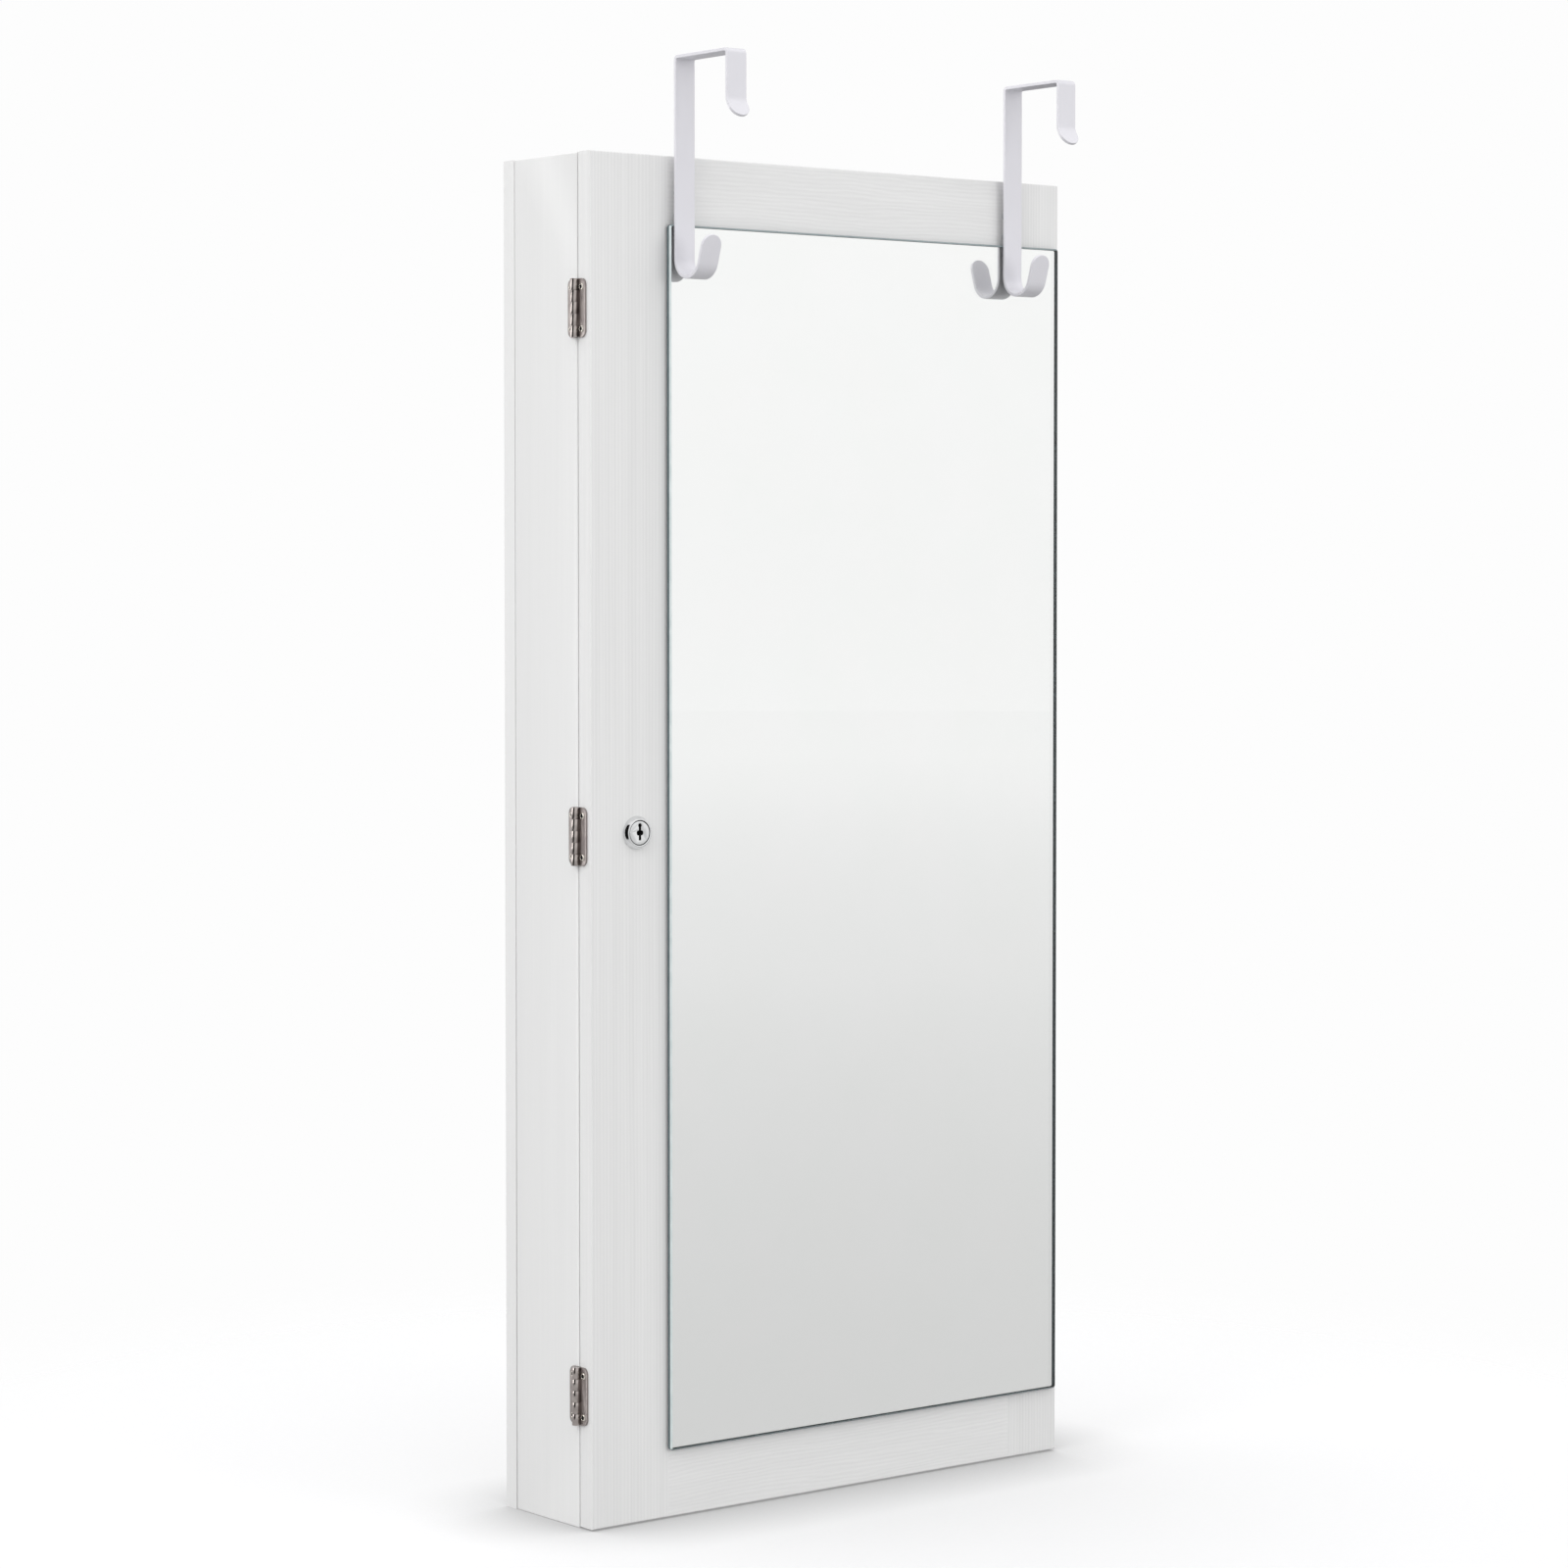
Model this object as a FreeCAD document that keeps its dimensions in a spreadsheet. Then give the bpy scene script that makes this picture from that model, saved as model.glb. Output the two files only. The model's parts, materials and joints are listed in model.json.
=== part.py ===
"""Jewellery cabinet with a mirror door, in millimetres.

A shallow white box, 362 x 88 x 800 mm, closed by a framed door that carries a frameless mirror. Three
butt hinges on the left side carry the door, a cam lock sits in its left stile, and two bent steel hooks
stand in front of its top rail.

X runs along the front to the right, Y from the front to the back and Z up. The origin is the middle of
the footprint, on the surface that the cabinet stands on.
"""
import FreeCAD, Part
import itertools
import math
import os
import re

import Sketcher

Vector = FreeCAD.Vector
Placement = FreeCAD.Placement
Rotation = FreeCAD.Rotation
Constraint = Sketcher.Constraint

TO_RIGHT = Vector(1, 0, 0)
TO_LEFT = Vector(-1, 0, 0)
TO_BACK = Vector(0, 1, 0)
TO_FRONT = Vector(0, -1, 0)
UPWARD = Vector(0, 0, 1)
TOUCHING = 0.001

SIZES = {
    # outer form
    "cab_width": 362,
    "cab_height": 800,
    "cab_depth": 88,
    "edge_round": 0.8,
    # box
    "side_thick": 12,
    "cap_thick": 12,
    "back_thick": 12,
    "groove_wide": 0.8,
    "groove_deep": 3,
    "lining_thick": 1.5,
    "dowel_radius": 3,
    "dowel_length": 24,
    "dowel_in_side": 9,
    "dowel_play": 0.1,
    "back_screw_edge": 60,
    "wall_hole_radius": 2.5,
    "wall_hole_inset": 36,
    "wall_hole_low": 44,
    "wall_hole_drop": 26,
    # shelves and their lips, and the free heights from the bottom panel up
    "shelf_thick": 8,
    "shelf_depth": 48,
    "lip_thick": 3,
    "lip_rise": 20,
    "bottom_bay": 126,
    "lower_bay": 116,
    "tray_bay": 26,
    "earring_bay": 40,
    "bar_bay": 39,
    "upper_bay": 19,
    # necklace rail
    "necklace_drop": 26,
    "necklace_height": 20,
    "necklace_depth": 12,
    "peg_count": 10,
    "peg_edge": 25,
    "peg_radius": 2.5,
    "peg_head": 4.6,
    "peg_reach": 24,
    "peg_sunk": 7,
    # earring bars
    "earring_thick": 3,
    "earring_depth": 16,
    "slot_wide": 1.8,
    "slot_deep": 7,
    "slot_pitch": 14,
    "slot_edge": 20,
    # ring tray and its soft rolls
    "tray_side": 6,
    "tray_width": 166,
    "tray_height": 100,
    "tray_depth": 20,
    "tray_wall": 6,
    "tray_back": 3,
    "roll_count": 6,
    "roll_end": 2.5,
    "soft_gap": 0.3,
    # bracelet rods
    "cheek_thick": 6,
    "cheek_depth": 26,
    "cheek_corner": 6,
    "rods_gap": 9,
    "rods_side": 8,
    "rod_radius": 4.5,
    "rod_sunk": 3,
    "rod_stand": 18,
    "rod_high": 82,
    "rod_low": 26,
    # door
    "door_thick": 12,
    "door_seam": 0.8,
    "door_lift": 1.2,
    "stile_left": 55,
    "stile_right": 40,
    "rail_top": 56,
    "rail_bottom": 58,
    "panel_thick": 8,
    "door_lining": 2,
    "door_dowel": 28,
    "door_dowel_spread": 17,
    "stud_pad_width": 190,
    "stud_pad_height": 150,
    "stud_pad_thick": 9,
    "stud_pad_drop": 34,
    "stud_pad_round": 3,
    # mirror
    "mirror_thick": 3,
    "mirror_from_left": 54.2,
    "mirror_beside": 2.8,
    "mirror_below": 41,
    "mirror_clear": 1.5,
    "mirror_corner": 2,
    "mirror_arris": 1,
    "tape_thick": 1,
    "tape_wide": 20,
    "tape_inset": 5,
    "tape_count": 4,
    # butt hinges
    "hinge_drop": 90,
    "hinge_rise": 4.5,
    "hinge_foot": 78,
    "leaf_height": 34,
    "leaf_width": 8,
    "leaf_thick": 1.2,
    "leaf_corner": 4,
    "knuckle_radius": 2.4,
    "knuckle_gap": 0.3,
    "knuckle_play": 0.15,
    "pin_radius": 1.1,
    "pin_play": 0.05,
    "leaf_screw_spread": 12.1,
    "leaf_screw_inset": 4.6,
    # screws: head and shank radius, and length
    "leaf_head": 2.1,
    "leaf_shank": 1.2,
    "leaf_length": 11,
    "wood_head": 3,
    "wood_shank": 1.5,
    "wood_length": 10,
    "back_head": 3.6,
    "back_shank": 1.8,
    "back_length": 34,
    "screw_play": 0.05,
    "drive_wide": 0.7,
    "drive_deep": 0.6,
    # cam lock
    "lock_inset": 32.4,
    "lock_rise": 6,
    "flange_radius": 9.8,
    "rim_radius": 8.65,
    "collar_height": 3.45,
    "barrel_radius": 8,
    "barrel_length": 24.3,
    "barrel_play": 0.1,
    "face_radius": 7,
    "face_deep": 2,
    "face_sunk": 0.15,
    "face_bevel": 0.3,
    "shaft_radius": 5,
    "plug_play": 0.05,
    "square_side": 6,
    "keyslot_wide": 1.7,
    "keyslot_tall": 8.7,
    "keyboss_wide": 4.7,
    "keyboss_tall": 2.9,
    "keyboss_round": 1.2,
    "keybulb_radius": 1.25,
    "keyhole_deep": 9,
    "lock_nut_radius": 11,
    "lock_nut_thick": 3,
    "cam_gap": 0.4,
    "cam_thick": 2,
    "cam_hub": 8,
    "cam_tip": 6,
    "cam_clear": 1.2,
    "cam_head_radius": 3.8,
    "cam_head_thick": 1.8,
    "cam_screw_radius": 1.5,
    "cam_screw_length": 7,
    "strike_gap": 1,
    "strike_thick": 1.2,
    "strike_clear": 1.9,
    "strike_depth": 20,
    "strike_height": 30,
    "strike_screw_spread": 10,
    "strike_screw_inset": 11,
    # magnetic catch
    "catch_rise": 4.5,
    "catch_height": 38,
    "catch_width": 13,
    "catch_depth": 14,
    "catch_gap": 0.5,
    "ear_height": 60,
    "ear_thick": 2,
    "catch_screw_spread": 25,
    "magnet_height": 30,
    "magnet_width": 8,
    "magnet_depth": 8,
    "magnet_play": 0.1,
    "keeper_width": 12,
    "keeper_height": 36,
    "keeper_thick": 1.2,
    "keeper_inset": 1,
    "keeper_round": 2,
    # hooks
    "strap_width": 14,
    "strap_thick": 2,
    "left_strap": 56.9,
    "right_strap": 35.6,
    "hook_drop": 72.2,
    "hook_rise": 58,
    "hook_gap": 47,
    "corner_radius": 1,
    "cradle_radius": 10.5,
    "tip_length": 16.6,
    "tip_lean": 17,
    "short_leg": 28,
    "flare_radius": 6,
    "flare_length": 9,
    "flare_lean": 32,
    "tip_flat": 0.2,
    "stud_radius": 2,
    "stud_play": 0.1,
    "stud_pitch": 13,
    "stud_past_nut": 1,
    "spacer_radius": 4,
    "hook_nut_radius": 4,
    "hook_nut_thick": 3.2,
}

# Places, worked out from the sizes.
LEFT = "(-cab_width / 2)"
RIGHT = "(cab_width / 2)"
FRONT = "(-cab_depth / 2)"
BACK = "(cab_depth / 2)"
DOOR_BACK = f"({FRONT} + door_thick)"
CASE_FRONT = f"({DOOR_BACK} + door_seam)"
CASE_BACK = f"({BACK} - back_thick)"
CASE_DEPTH = f"({CASE_BACK} - {CASE_FRONT})"
INNER_LEFT = f"({LEFT} + side_thick)"
INNER_RIGHT = f"({RIGHT} - side_thick)"
INNER_WIDTH = "(cab_width - 2 * side_thick)"
LINING_FRONT = f"({CASE_BACK} - lining_thick)"
SHELF_FRONT = f"({LINING_FRONT} - shelf_depth)"
DOOR_HEIGHT = "(cab_height - door_lift)"
LOWER_LEVEL = "(cap_thick + bottom_bay)"
MIDDLE_LEVEL = f"({LOWER_LEVEL} + shelf_thick + lower_bay)"
TRAY_LEVEL = f"({MIDDLE_LEVEL} + shelf_thick + tray_bay)"
EARRING_LOW = f"({TRAY_LEVEL} + tray_height + earring_bay)"
EARRING_HIGH = f"({EARRING_LOW} + earring_thick + bar_bay)"
UPPER_LEVEL = f"({EARRING_HIGH} + earring_thick + upper_bay)"
NECKLACE_LEVEL = "(cab_height - cap_thick - necklace_drop - necklace_height)"
RAIL_START = f"({LEFT} + stile_left)"
RAIL_LENGTH = "(cab_width - stile_left - stile_right)"
PANEL_LOW = "(door_lift + rail_bottom)"
PANEL_HEIGHT = f"({DOOR_HEIGHT} - rail_bottom - rail_top)"
STUDS_MIDDLE = "(cab_height - rail_top / 2)"
MIRROR_LEFT = f"({LEFT} + mirror_from_left)"
MIRROR_WIDTH = "(cab_width - mirror_from_left - mirror_beside)"
MIRROR_FRONT = f"({FRONT} - tape_thick - mirror_thick)"
MIRROR_HEIGHT = f"({STUDS_MIDDLE} - stud_pitch / 2 - spacer_radius - mirror_clear - mirror_below)"
HINGE_X = f"({LEFT} - knuckle_gap - knuckle_radius)"
HINGE_Y = f"({DOOR_BACK} + door_seam / 2)"
KNUCKLE = "(leaf_height / 5)"
LOCK_X = f"({LEFT} + lock_inset)"
LOCK_LEVEL = "(cab_height / 2 + lock_rise)"
CAM_FRONT = f"({FRONT} + barrel_length + cam_gap)"
CAM_REACH = f"({LOCK_X} - {INNER_LEFT} - strike_thick - cam_clear)"
STRIKE_FRONT = f"({CAM_FRONT} - strike_gap - strike_thick)"
STRIKE_REACH = f"({LOCK_X} - barrel_radius - strike_clear - {INNER_LEFT})"
CATCH_LEVEL = "(cab_height / 2 + catch_rise)"
CATCH_FRONT = f"({DOOR_BACK} + keeper_thick + catch_gap)"
TRAY_LEFT = f"({INNER_LEFT} + tray_side)"
TRAY_FRONT = f"({LINING_FRONT} - tray_depth)"
ROLL_ROOM = "((tray_height - 2 * tray_wall) / roll_count)"
ROLL_RADIUS = f"(({ROLL_ROOM} - soft_gap) / 2)"
RODS_LEFT = f"({TRAY_LEFT} + tray_width + rods_gap)"
RODS_RIGHT = f"({INNER_RIGHT} - rods_side - cheek_thick)"

doc = FreeCAD.newDocument("jewellery_mirror_cabinet")
sheet = doc.addObject("Spreadsheet::Sheet", "sizes")
nodes = []


def fill_sheet():
    """Writes each driving size into a cell of its own, under its name."""
    for row, (name, amount) in enumerate(SIZES.items(), 1):
        sheet.set(f"A{row}", name)
        sheet.set(f"B{row}", str(amount))
        sheet.setAlias(f"B{row}", name)
    doc.recompute()


def size(name):
    """Reads one size back from the sheet."""
    return float(sheet.get(name))


def in_sheet(text):
    """Turns the sizes' names in a formula into references to the sheet."""
    return re.sub(r"[a-z_]+", lambda word: "sizes." + word[0] if word[0] in SIZES else word[0], text)


def bind(thing, where, text):
    """Binds a property to a formula of the sheet's sizes."""
    thing.setExpression(where, in_sheet(text))


def place(thing, at, turn=Rotation()):
    """Puts an object's own origin at a place given by three formulas."""
    thing.Placement = Placement(Vector(), turn)
    for axis, text in zip("xyz", at):
        bind(thing, f"Placement.Base.{axis}", text)
    return thing


def keep(thing):
    """Lists a finished sub-part, whose label names its file."""
    nodes.append(thing)
    return thing


# ---- sketches


def sketch_on(body, role, name, rise=None):
    """Starts a sketch on one of the body's origin planes, raised along its normal if asked."""
    sketch = body.newObject("Sketcher::SketchObject", name)
    plane = next(item for item in body.Origin.OriginFeatures if item.Role == role)
    sketch.AttachmentSupport = (plane, "")
    sketch.MapMode = "FlatFace"
    if rise:
        bind(sketch, "AttachmentOffset.Base.z", rise)
    return sketch


def dimension(sketch, constraint, text):
    """Adds a constraint whose value follows a formula."""
    index = sketch.addConstraint(constraint)
    bind(sketch, f"Constraints[{index}]", text)


def add_rectangle(sketch, wide, tall, corner=None):
    """Draws a rectangle from a corner, from the origin, or centred when corner is "centred"."""
    first = sketch.GeometryCount
    points = [Vector(-1, -1, 0), Vector(1, -1, 0), Vector(1, 1, 0), Vector(-1, 1, 0)]
    for side in range(4):
        sketch.addGeometry(Part.LineSegment(points[side], points[(side + 1) % 4]))
    for side in range(4):
        sketch.addConstraint(Constraint("Coincident", first + side, 2, first + (side + 1) % 4, 1))
    for side in (0, 2):
        sketch.addConstraint(Constraint("Horizontal", first + side))
        sketch.addConstraint(Constraint("Vertical", first + side + 1))
    if corner == "centred":
        sketch.addConstraint(Constraint("Symmetric", first, 1, first + 2, 1, -1, 1))
    elif corner is None:
        sketch.addConstraint(Constraint("Coincident", first, 1, -1, 1))
    else:
        pin_point(sketch, first, 1, corner)
    dimension(sketch, Constraint("DistanceX", first, 1, first, 2, 2.0), wide)
    dimension(sketch, Constraint("DistanceY", first + 1, 1, first + 1, 2, 2.0), tall)


def pin_point(sketch, geometry, end, corner):
    """Fixes a point of the sketch at two formulas, or on the axes where they are zero."""
    across, up = corner
    if across == "0":
        sketch.addConstraint(Constraint("PointOnObject", geometry, end, -2))
    else:
        dimension(sketch, Constraint("DistanceX", -1, 1, geometry, end, 1.0), across)
    if up == "0":
        sketch.addConstraint(Constraint("PointOnObject", geometry, end, -1))
    else:
        dimension(sketch, Constraint("DistanceY", -1, 1, geometry, end, 1.0), up)


def add_circle(sketch, radius, centre):
    """Draws a circle round a centre given by two formulas."""
    index = sketch.addGeometry(Part.Circle(Vector(1, 1, 0), Vector(0, 0, 1), 1))
    pin_point(sketch, index, 3, centre)
    dimension(sketch, Constraint("Radius", index, 1.0), radius)


def add_outline(sketch, corners):
    """Draws a closed outline of straight lines through corners given by formulas."""
    count = len(corners)
    turns = [2 * math.pi * index / count for index in range(count)]
    points = [Vector(math.cos(turn), math.sin(turn), 0) for turn in turns]
    for index in range(count):
        sketch.addGeometry(Part.LineSegment(points[index], points[(index + 1) % count]))
    for index in range(count):
        sketch.addConstraint(Constraint("Coincident", index, 2, (index + 1) % count, 1))
        pin_point(sketch, index, 1, corners[index])


# ---- solids


def edges_between(shape, pairs):
    """Names the edges where two sides of the shape's box meet, such as ("x-", "y+")."""
    box = shape.BoundBox
    low, high = (box.XMin, box.YMin, box.ZMin), (box.XMax, box.YMax, box.ZMax)
    names = []
    for index, edge in enumerate(shape.Edges, 1):
        for pair in pairs:
            sides = [("xyz".index(side[0]), high if side[1] == "+" else low) for side in pair]
            gaps = [abs(end.Point[axis] - level[axis]) for end in edge.Vertexes for axis, level in sides]
            if max(gaps) < TOUCHING:
                names.append(f"Edge{index}")
    return names


def fillet(body, feature, names, radius):
    """Rounds the named edges of a feature in its body."""
    rounding = body.newObject("PartDesign::Fillet", body.Name + "_fillet")
    rounding.Base = (feature, names)
    bind(rounding, "Radius", radius)
    return rounding


def board(name, extent, at, soft=(), radius="edge_round"):
    """Makes a rectangular board, with the edges between the listed pairs of sides rounded."""
    body = doc.addObject("PartDesign::Body", name)
    outline = sketch_on(body, "XY_Plane", name + "_outline")
    add_rectangle(outline, extent[0], extent[1])
    pad = body.newObject("PartDesign::Pad", name + "_pad")
    pad.Profile = outline
    bind(pad, "Length", extent[2])
    if soft:
        doc.recompute()
        fillet(body, pad, edges_between(pad.Shape, soft), radius)
    return place(body, at)


def turned(name, corners):
    """Turns a closed outline, given as radius and height, round the body's own Z axis."""
    body = doc.addObject("PartDesign::Body", name)
    outline = sketch_on(body, "XZ_Plane", name + "_outline")
    add_outline(outline, corners)
    spin = body.newObject("PartDesign::Revolution", name + "_turned")
    spin.Profile = outline
    spin.ReferenceAxis = (outline, ["V_Axis"])
    spin.Angle = 360
    return body


def pocket(body, sketch, depth, reverse=False):
    """Cuts a sketch into its body, against its normal unless reversed, and checks that it cuts."""
    doc.recompute()
    before = body.Shape.Volume
    cutout = body.newObject("PartDesign::Pocket", sketch.Name + "_pocket")
    cutout.Profile = sketch
    cutout.Reversed = reverse
    bind(cutout, "Length", depth)
    doc.recompute()
    if body.Shape.Volume > before - TOUCHING:
        raise RuntimeError(f"{sketch.Name} cuts nothing")
    return cutout


def block(name, extent, at):
    """Makes a plain box."""
    box = doc.addObject("Part::Box", name)
    for edge, text in zip(("Length", "Width", "Height"), extent):
        bind(box, edge, text)
    return place(box, at)


def rod(name, radius, length, at, along):
    """Makes a cylinder that starts at a place and runs along a direction."""
    cylinder = doc.addObject("Part::Cylinder", name)
    bind(cylinder, "Radius", radius)
    bind(cylinder, "Height", length)
    return place(cylinder, at, Rotation(UPWARD, along))


def hexagon(name, radius, length, at, along):
    """Makes a six-sided prism that starts at a place and runs along a direction."""
    prism = doc.addObject("Part::Prism", name)
    prism.Polygon = 6
    bind(prism, "Circumradius", radius)
    bind(prism, "Height", length)
    return place(prism, at, Rotation(UPWARD, along))


def copies(name, master, spots, along=UPWARD):
    """Sets copies of one solid at several places, with its own Z along a direction."""
    links = []
    for spot in spots:
        link = doc.addObject("App::Link", name + "_copy")
        link.LinkedObject = master
        links.append(place(link, spot, Rotation(UPWARD, along)))
    return gather(name, links)


def gather(name, pieces):
    """Groups separate solids under one name."""
    compound = doc.addObject("Part::Compound", name)
    compound.Links = pieces
    return compound


def fuse(name, pieces):
    """Joins overlapping solids into one."""
    whole = doc.addObject("Part::MultiFuse", name)
    whole.Shapes = pieces
    whole.Refine = True
    return whole


def cut(name, base, tools):
    """Cuts one or more solids out of a base."""
    result = doc.addObject("Part::Cut", name)
    result.Base = base
    result.Tool = tools[0] if len(tools) == 1 else gather(name + "_tools", tools)
    return result


def screw(name, kind):
    """Makes a countersunk cross-head screw, its head's top at the origin and its shank downwards."""
    head, shank, length = f"{kind}_head", f"{kind}_shank", f"{kind}_length"
    body = turned(name, [
        ("0", "0"),
        (head, "0"),
        (shank, f"{shank} - {head}"),
        (shank, f"{shank} - {length}"),
        ("0", f"-{length}"),
    ])
    arm = f"1.2 * {head}"
    for turn, extent in enumerate(((arm, "drive_wide"), ("drive_wide", arm))):
        slot = sketch_on(body, "XY_Plane", f"{name}_drive_{turn}")
        add_rectangle(slot, *extent, "centred")
        pocket(body, slot, "drive_deep")
    return body


def screw_hole(name, kind):
    """Makes the solid that a countersunk screw's hole takes away."""
    head, shank, length = f"{kind}_head", f"{kind}_shank", f"{kind}_length"
    wide, narrow = f"{head} + screw_play", f"{shank} + screw_play"
    return turned(name, [
        ("0", "screw_play"),
        (wide, "screw_play"),
        (wide, "0"),
        (narrow, f"{shank} - {head}"),
        (narrow, f"-{length} - screw_play"),
        ("0", f"-{length} - screw_play"),
    ])


# ---- where the fasteners go


def corner_dowels():
    """Starts of the dowels that join the side panels to the top and bottom panels."""
    depths = [f"{CASE_FRONT} + {CASE_DEPTH} * {share}" for share in (0.25, 0.75)]
    levels = ["cap_thick / 2", "cab_height - cap_thick / 2"]
    left = [(f"{INNER_LEFT} - dowel_in_side", depth, level) for depth in depths for level in levels]
    right = [(f"{INNER_RIGHT} + dowel_in_side", depth, level) for depth in depths for level in levels]
    return left, right


def door_dowels():
    """Starts of the dowels that join the door's stiles and rails."""
    depth = f"{FRONT} + door_thick / 2"
    middles = ["cab_height - rail_top / 2", "door_lift + rail_bottom / 2"]
    levels = [f"{middle} {sign} door_dowel_spread" for middle in middles for sign in "+-"]
    joints = [RAIL_START, f"{RIGHT} - stile_right"]
    return [(f"{joint} - door_dowel / 2", depth, level) for joint in joints for level in levels]


def back_screw_spots():
    """Heads of the screws that hold the back board to the box."""
    rise = "(cab_height - 2 * back_screw_edge) / 3"
    levels = [f"back_screw_edge + {rise} * {step}" for step in range(4)]
    sides = [f"{LEFT} + side_thick / 2", f"{RIGHT} - side_thick / 2"]
    spots = [(side, BACK, level) for side in sides for level in levels]
    for level in ("cap_thick / 2", "cab_height - cap_thick / 2"):
        spots += [(f"{sign}{INNER_WIDTH} / 4", BACK, level) for sign in ("-", "")]
    return spots


def leaf_screw_spots(depth):
    """Heads of the screws in the leaves of all three hinges, at one depth."""
    levels = [f"{level} {sign} leaf_screw_spread" for level in HINGES.values() for sign in "+-"]
    return [(f"{LEFT} - leaf_thick", depth, level) for level in levels]


HINGES = {
    "upper": "(cab_height - hinge_drop)",
    "middle": "(cab_height / 2 + hinge_rise)",
    "lower": "hinge_foot",
}
CASE_LEAF_SCREWS = f"{CASE_FRONT} + leaf_screw_inset"
DOOR_LEAF_SCREWS = f"{DOOR_BACK} - leaf_screw_inset"
STRIKE_SCREWS = [
    (f"{INNER_LEFT} + strike_thick", f"{STRIKE_FRONT} + strike_screw_inset", level)
    for level in (f"{LOCK_LEVEL} + strike_screw_spread", f"{LOCK_LEVEL} - strike_screw_spread")
]
CATCH_SCREWS = [
    (f"{INNER_RIGHT} - ear_thick", f"{CATCH_FRONT} + catch_depth / 2", level)
    for level in (f"{CATCH_LEVEL} + catch_screw_spread", f"{CATCH_LEVEL} - catch_screw_spread")
]
KEEPER_X = f"({INNER_RIGHT} - keeper_inset - keeper_width / 2)"
KEEPER_SCREW = [(KEEPER_X, f"{DOOR_BACK} + keeper_thick", CATCH_LEVEL)]
WALL_HOLES = [
    (across, f"{LINING_FRONT} - 1", level)
    for across in (f"{LEFT} + wall_hole_inset", f"{RIGHT} - wall_hole_inset")
    for level in ("wall_hole_low", "cab_height - wall_hole_drop")
]
STRAPS = {
    "left": f"({LEFT} + left_strap + strap_width / 2)",
    "right": f"({RIGHT} - right_strap - strap_width / 2)",
}
STUD_LEVELS = [f"{STUDS_MIDDLE} + stud_pitch / 2", f"{STUDS_MIDDLE} - stud_pitch / 2"]
PEG_PITCH = f"(({INNER_WIDTH} - 2 * peg_edge) / (peg_count - 1))"
PEGS = [f"({INNER_LEFT} + peg_edge + {index} * {PEG_PITCH})" for index in range(SIZES["peg_count"])]


def make_box():
    """Makes the side, top and bottom panels, the back board and what joins them."""
    left_starts, right_starts = corner_dowels()
    dowel = rod("dowel", "dowel_radius", "dowel_length", ("0", "0", "0"), UPWARD)
    sink, deep = "dowel_radius + dowel_play", "dowel_length + 2 * dowel_play"
    dowel_hole = rod("dowel_hole", sink, deep, ("0", "0", "0"), UPWARD)
    outset_left = [(f"{x} - dowel_play", y, z) for x, y, z in left_starts]
    outset_right = [(f"{x} + dowel_play", y, z) for x, y, z in right_starts]
    left_bores = copies("left_dowel_bores", dowel_hole, outset_left, TO_RIGHT)
    right_bores = copies("right_dowel_bores", dowel_hole, outset_right, TO_LEFT)
    keep(gather("carcass_dowels", [
        copies("left_dowels", dowel, left_starts, TO_RIGHT),
        copies("right_dowels", dowel, right_starts, TO_LEFT),
    ]))

    back_hole = screw_hole("back_screw_hole", "back")
    back_bores = copies("back_screw_bores", back_hole, back_screw_spots(), TO_BACK)
    keep(copies("back_screws", screw("back_screw", "back"), back_screw_spots(), TO_BACK))

    side = ("side_thick", CASE_DEPTH, "cab_height")
    left_ends = [("x-", "z+"), ("x-", "z-")]
    left_blank = board("left_side_blank", side, (LEFT, CASE_FRONT, "0"), left_ends)
    leaf_bores = copies("case_leaf_bores", leaf_hole, leaf_screw_spots(CASE_LEAF_SCREWS), TO_LEFT)
    strike_bores = copies("strike_bores", wood_hole, STRIKE_SCREWS, TO_RIGHT)
    keep(cut("left_side_panel", left_blank, [left_bores, back_bores, leaf_bores, strike_bores]))
    right_ends = [("x+", "z+"), ("x+", "z-")]
    right_blank = board("right_side_blank", side, (INNER_RIGHT, CASE_FRONT, "0"), right_ends)
    catch_bores = copies("catch_bores", wood_hole, CATCH_SCREWS, TO_LEFT)
    keep(cut("right_side_panel", right_blank, [right_bores, back_bores, catch_bores]))
    cap = (INNER_WIDTH, CASE_DEPTH, "cap_thick")
    for name, level in (("top_panel", "cab_height - cap_thick"), ("bottom_panel", "0")):
        blank = board(name + "_blank", cap, (INNER_LEFT, CASE_FRONT, level))
        keep(cut(name, blank, [left_bores, right_bores, back_bores]))

    wall_bores = gather("wall_hole_bores", [
        rod("wall_hole", "wall_hole_radius", "lining_thick + back_thick + 2", spot, TO_BACK)
        for spot in WALL_HOLES
    ])
    keep(cut("back_board", back_blank(), [back_bores, wall_bores]))
    extent = (INNER_WIDTH, "lining_thick", "cab_height - 2 * cap_thick")
    lining = board("lining_blank", extent, (INNER_LEFT, LINING_FRONT, "cap_thick"))
    keep(cut("back_lining", lining, [wall_bores]))


def back_blank():
    """Makes the back board, stepped round its front face so that a shadow groove shows at the joint."""
    body = doc.addObject("PartDesign::Body", "back_blank")
    outer = sketch_on(body, "XZ_Plane", "back_outline")
    add_rectangle(outer, "cab_width", "cab_height")
    full = body.newObject("PartDesign::Pad", "back_full")
    full.Profile = outer
    bind(full, "Length", "back_thick - groove_wide")
    step = sketch_on(body, "XZ_Plane", "back_step_outline")
    wide, tall = "cab_width - 2 * groove_deep", "cab_height - 2 * groove_deep"
    add_rectangle(step, wide, tall, ("groove_deep", "groove_deep"))
    core = body.newObject("PartDesign::Pad", "back_core")
    core.Profile = step
    bind(core, "Length", "back_thick")
    doc.recompute()
    rim = [("y+", "x-"), ("y+", "x+"), ("y+", "z+"), ("y+", "z-")]
    fillet(body, core, edges_between(core.Shape, rim), "edge_round")
    return place(body, (LEFT, BACK, "0"))


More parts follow.
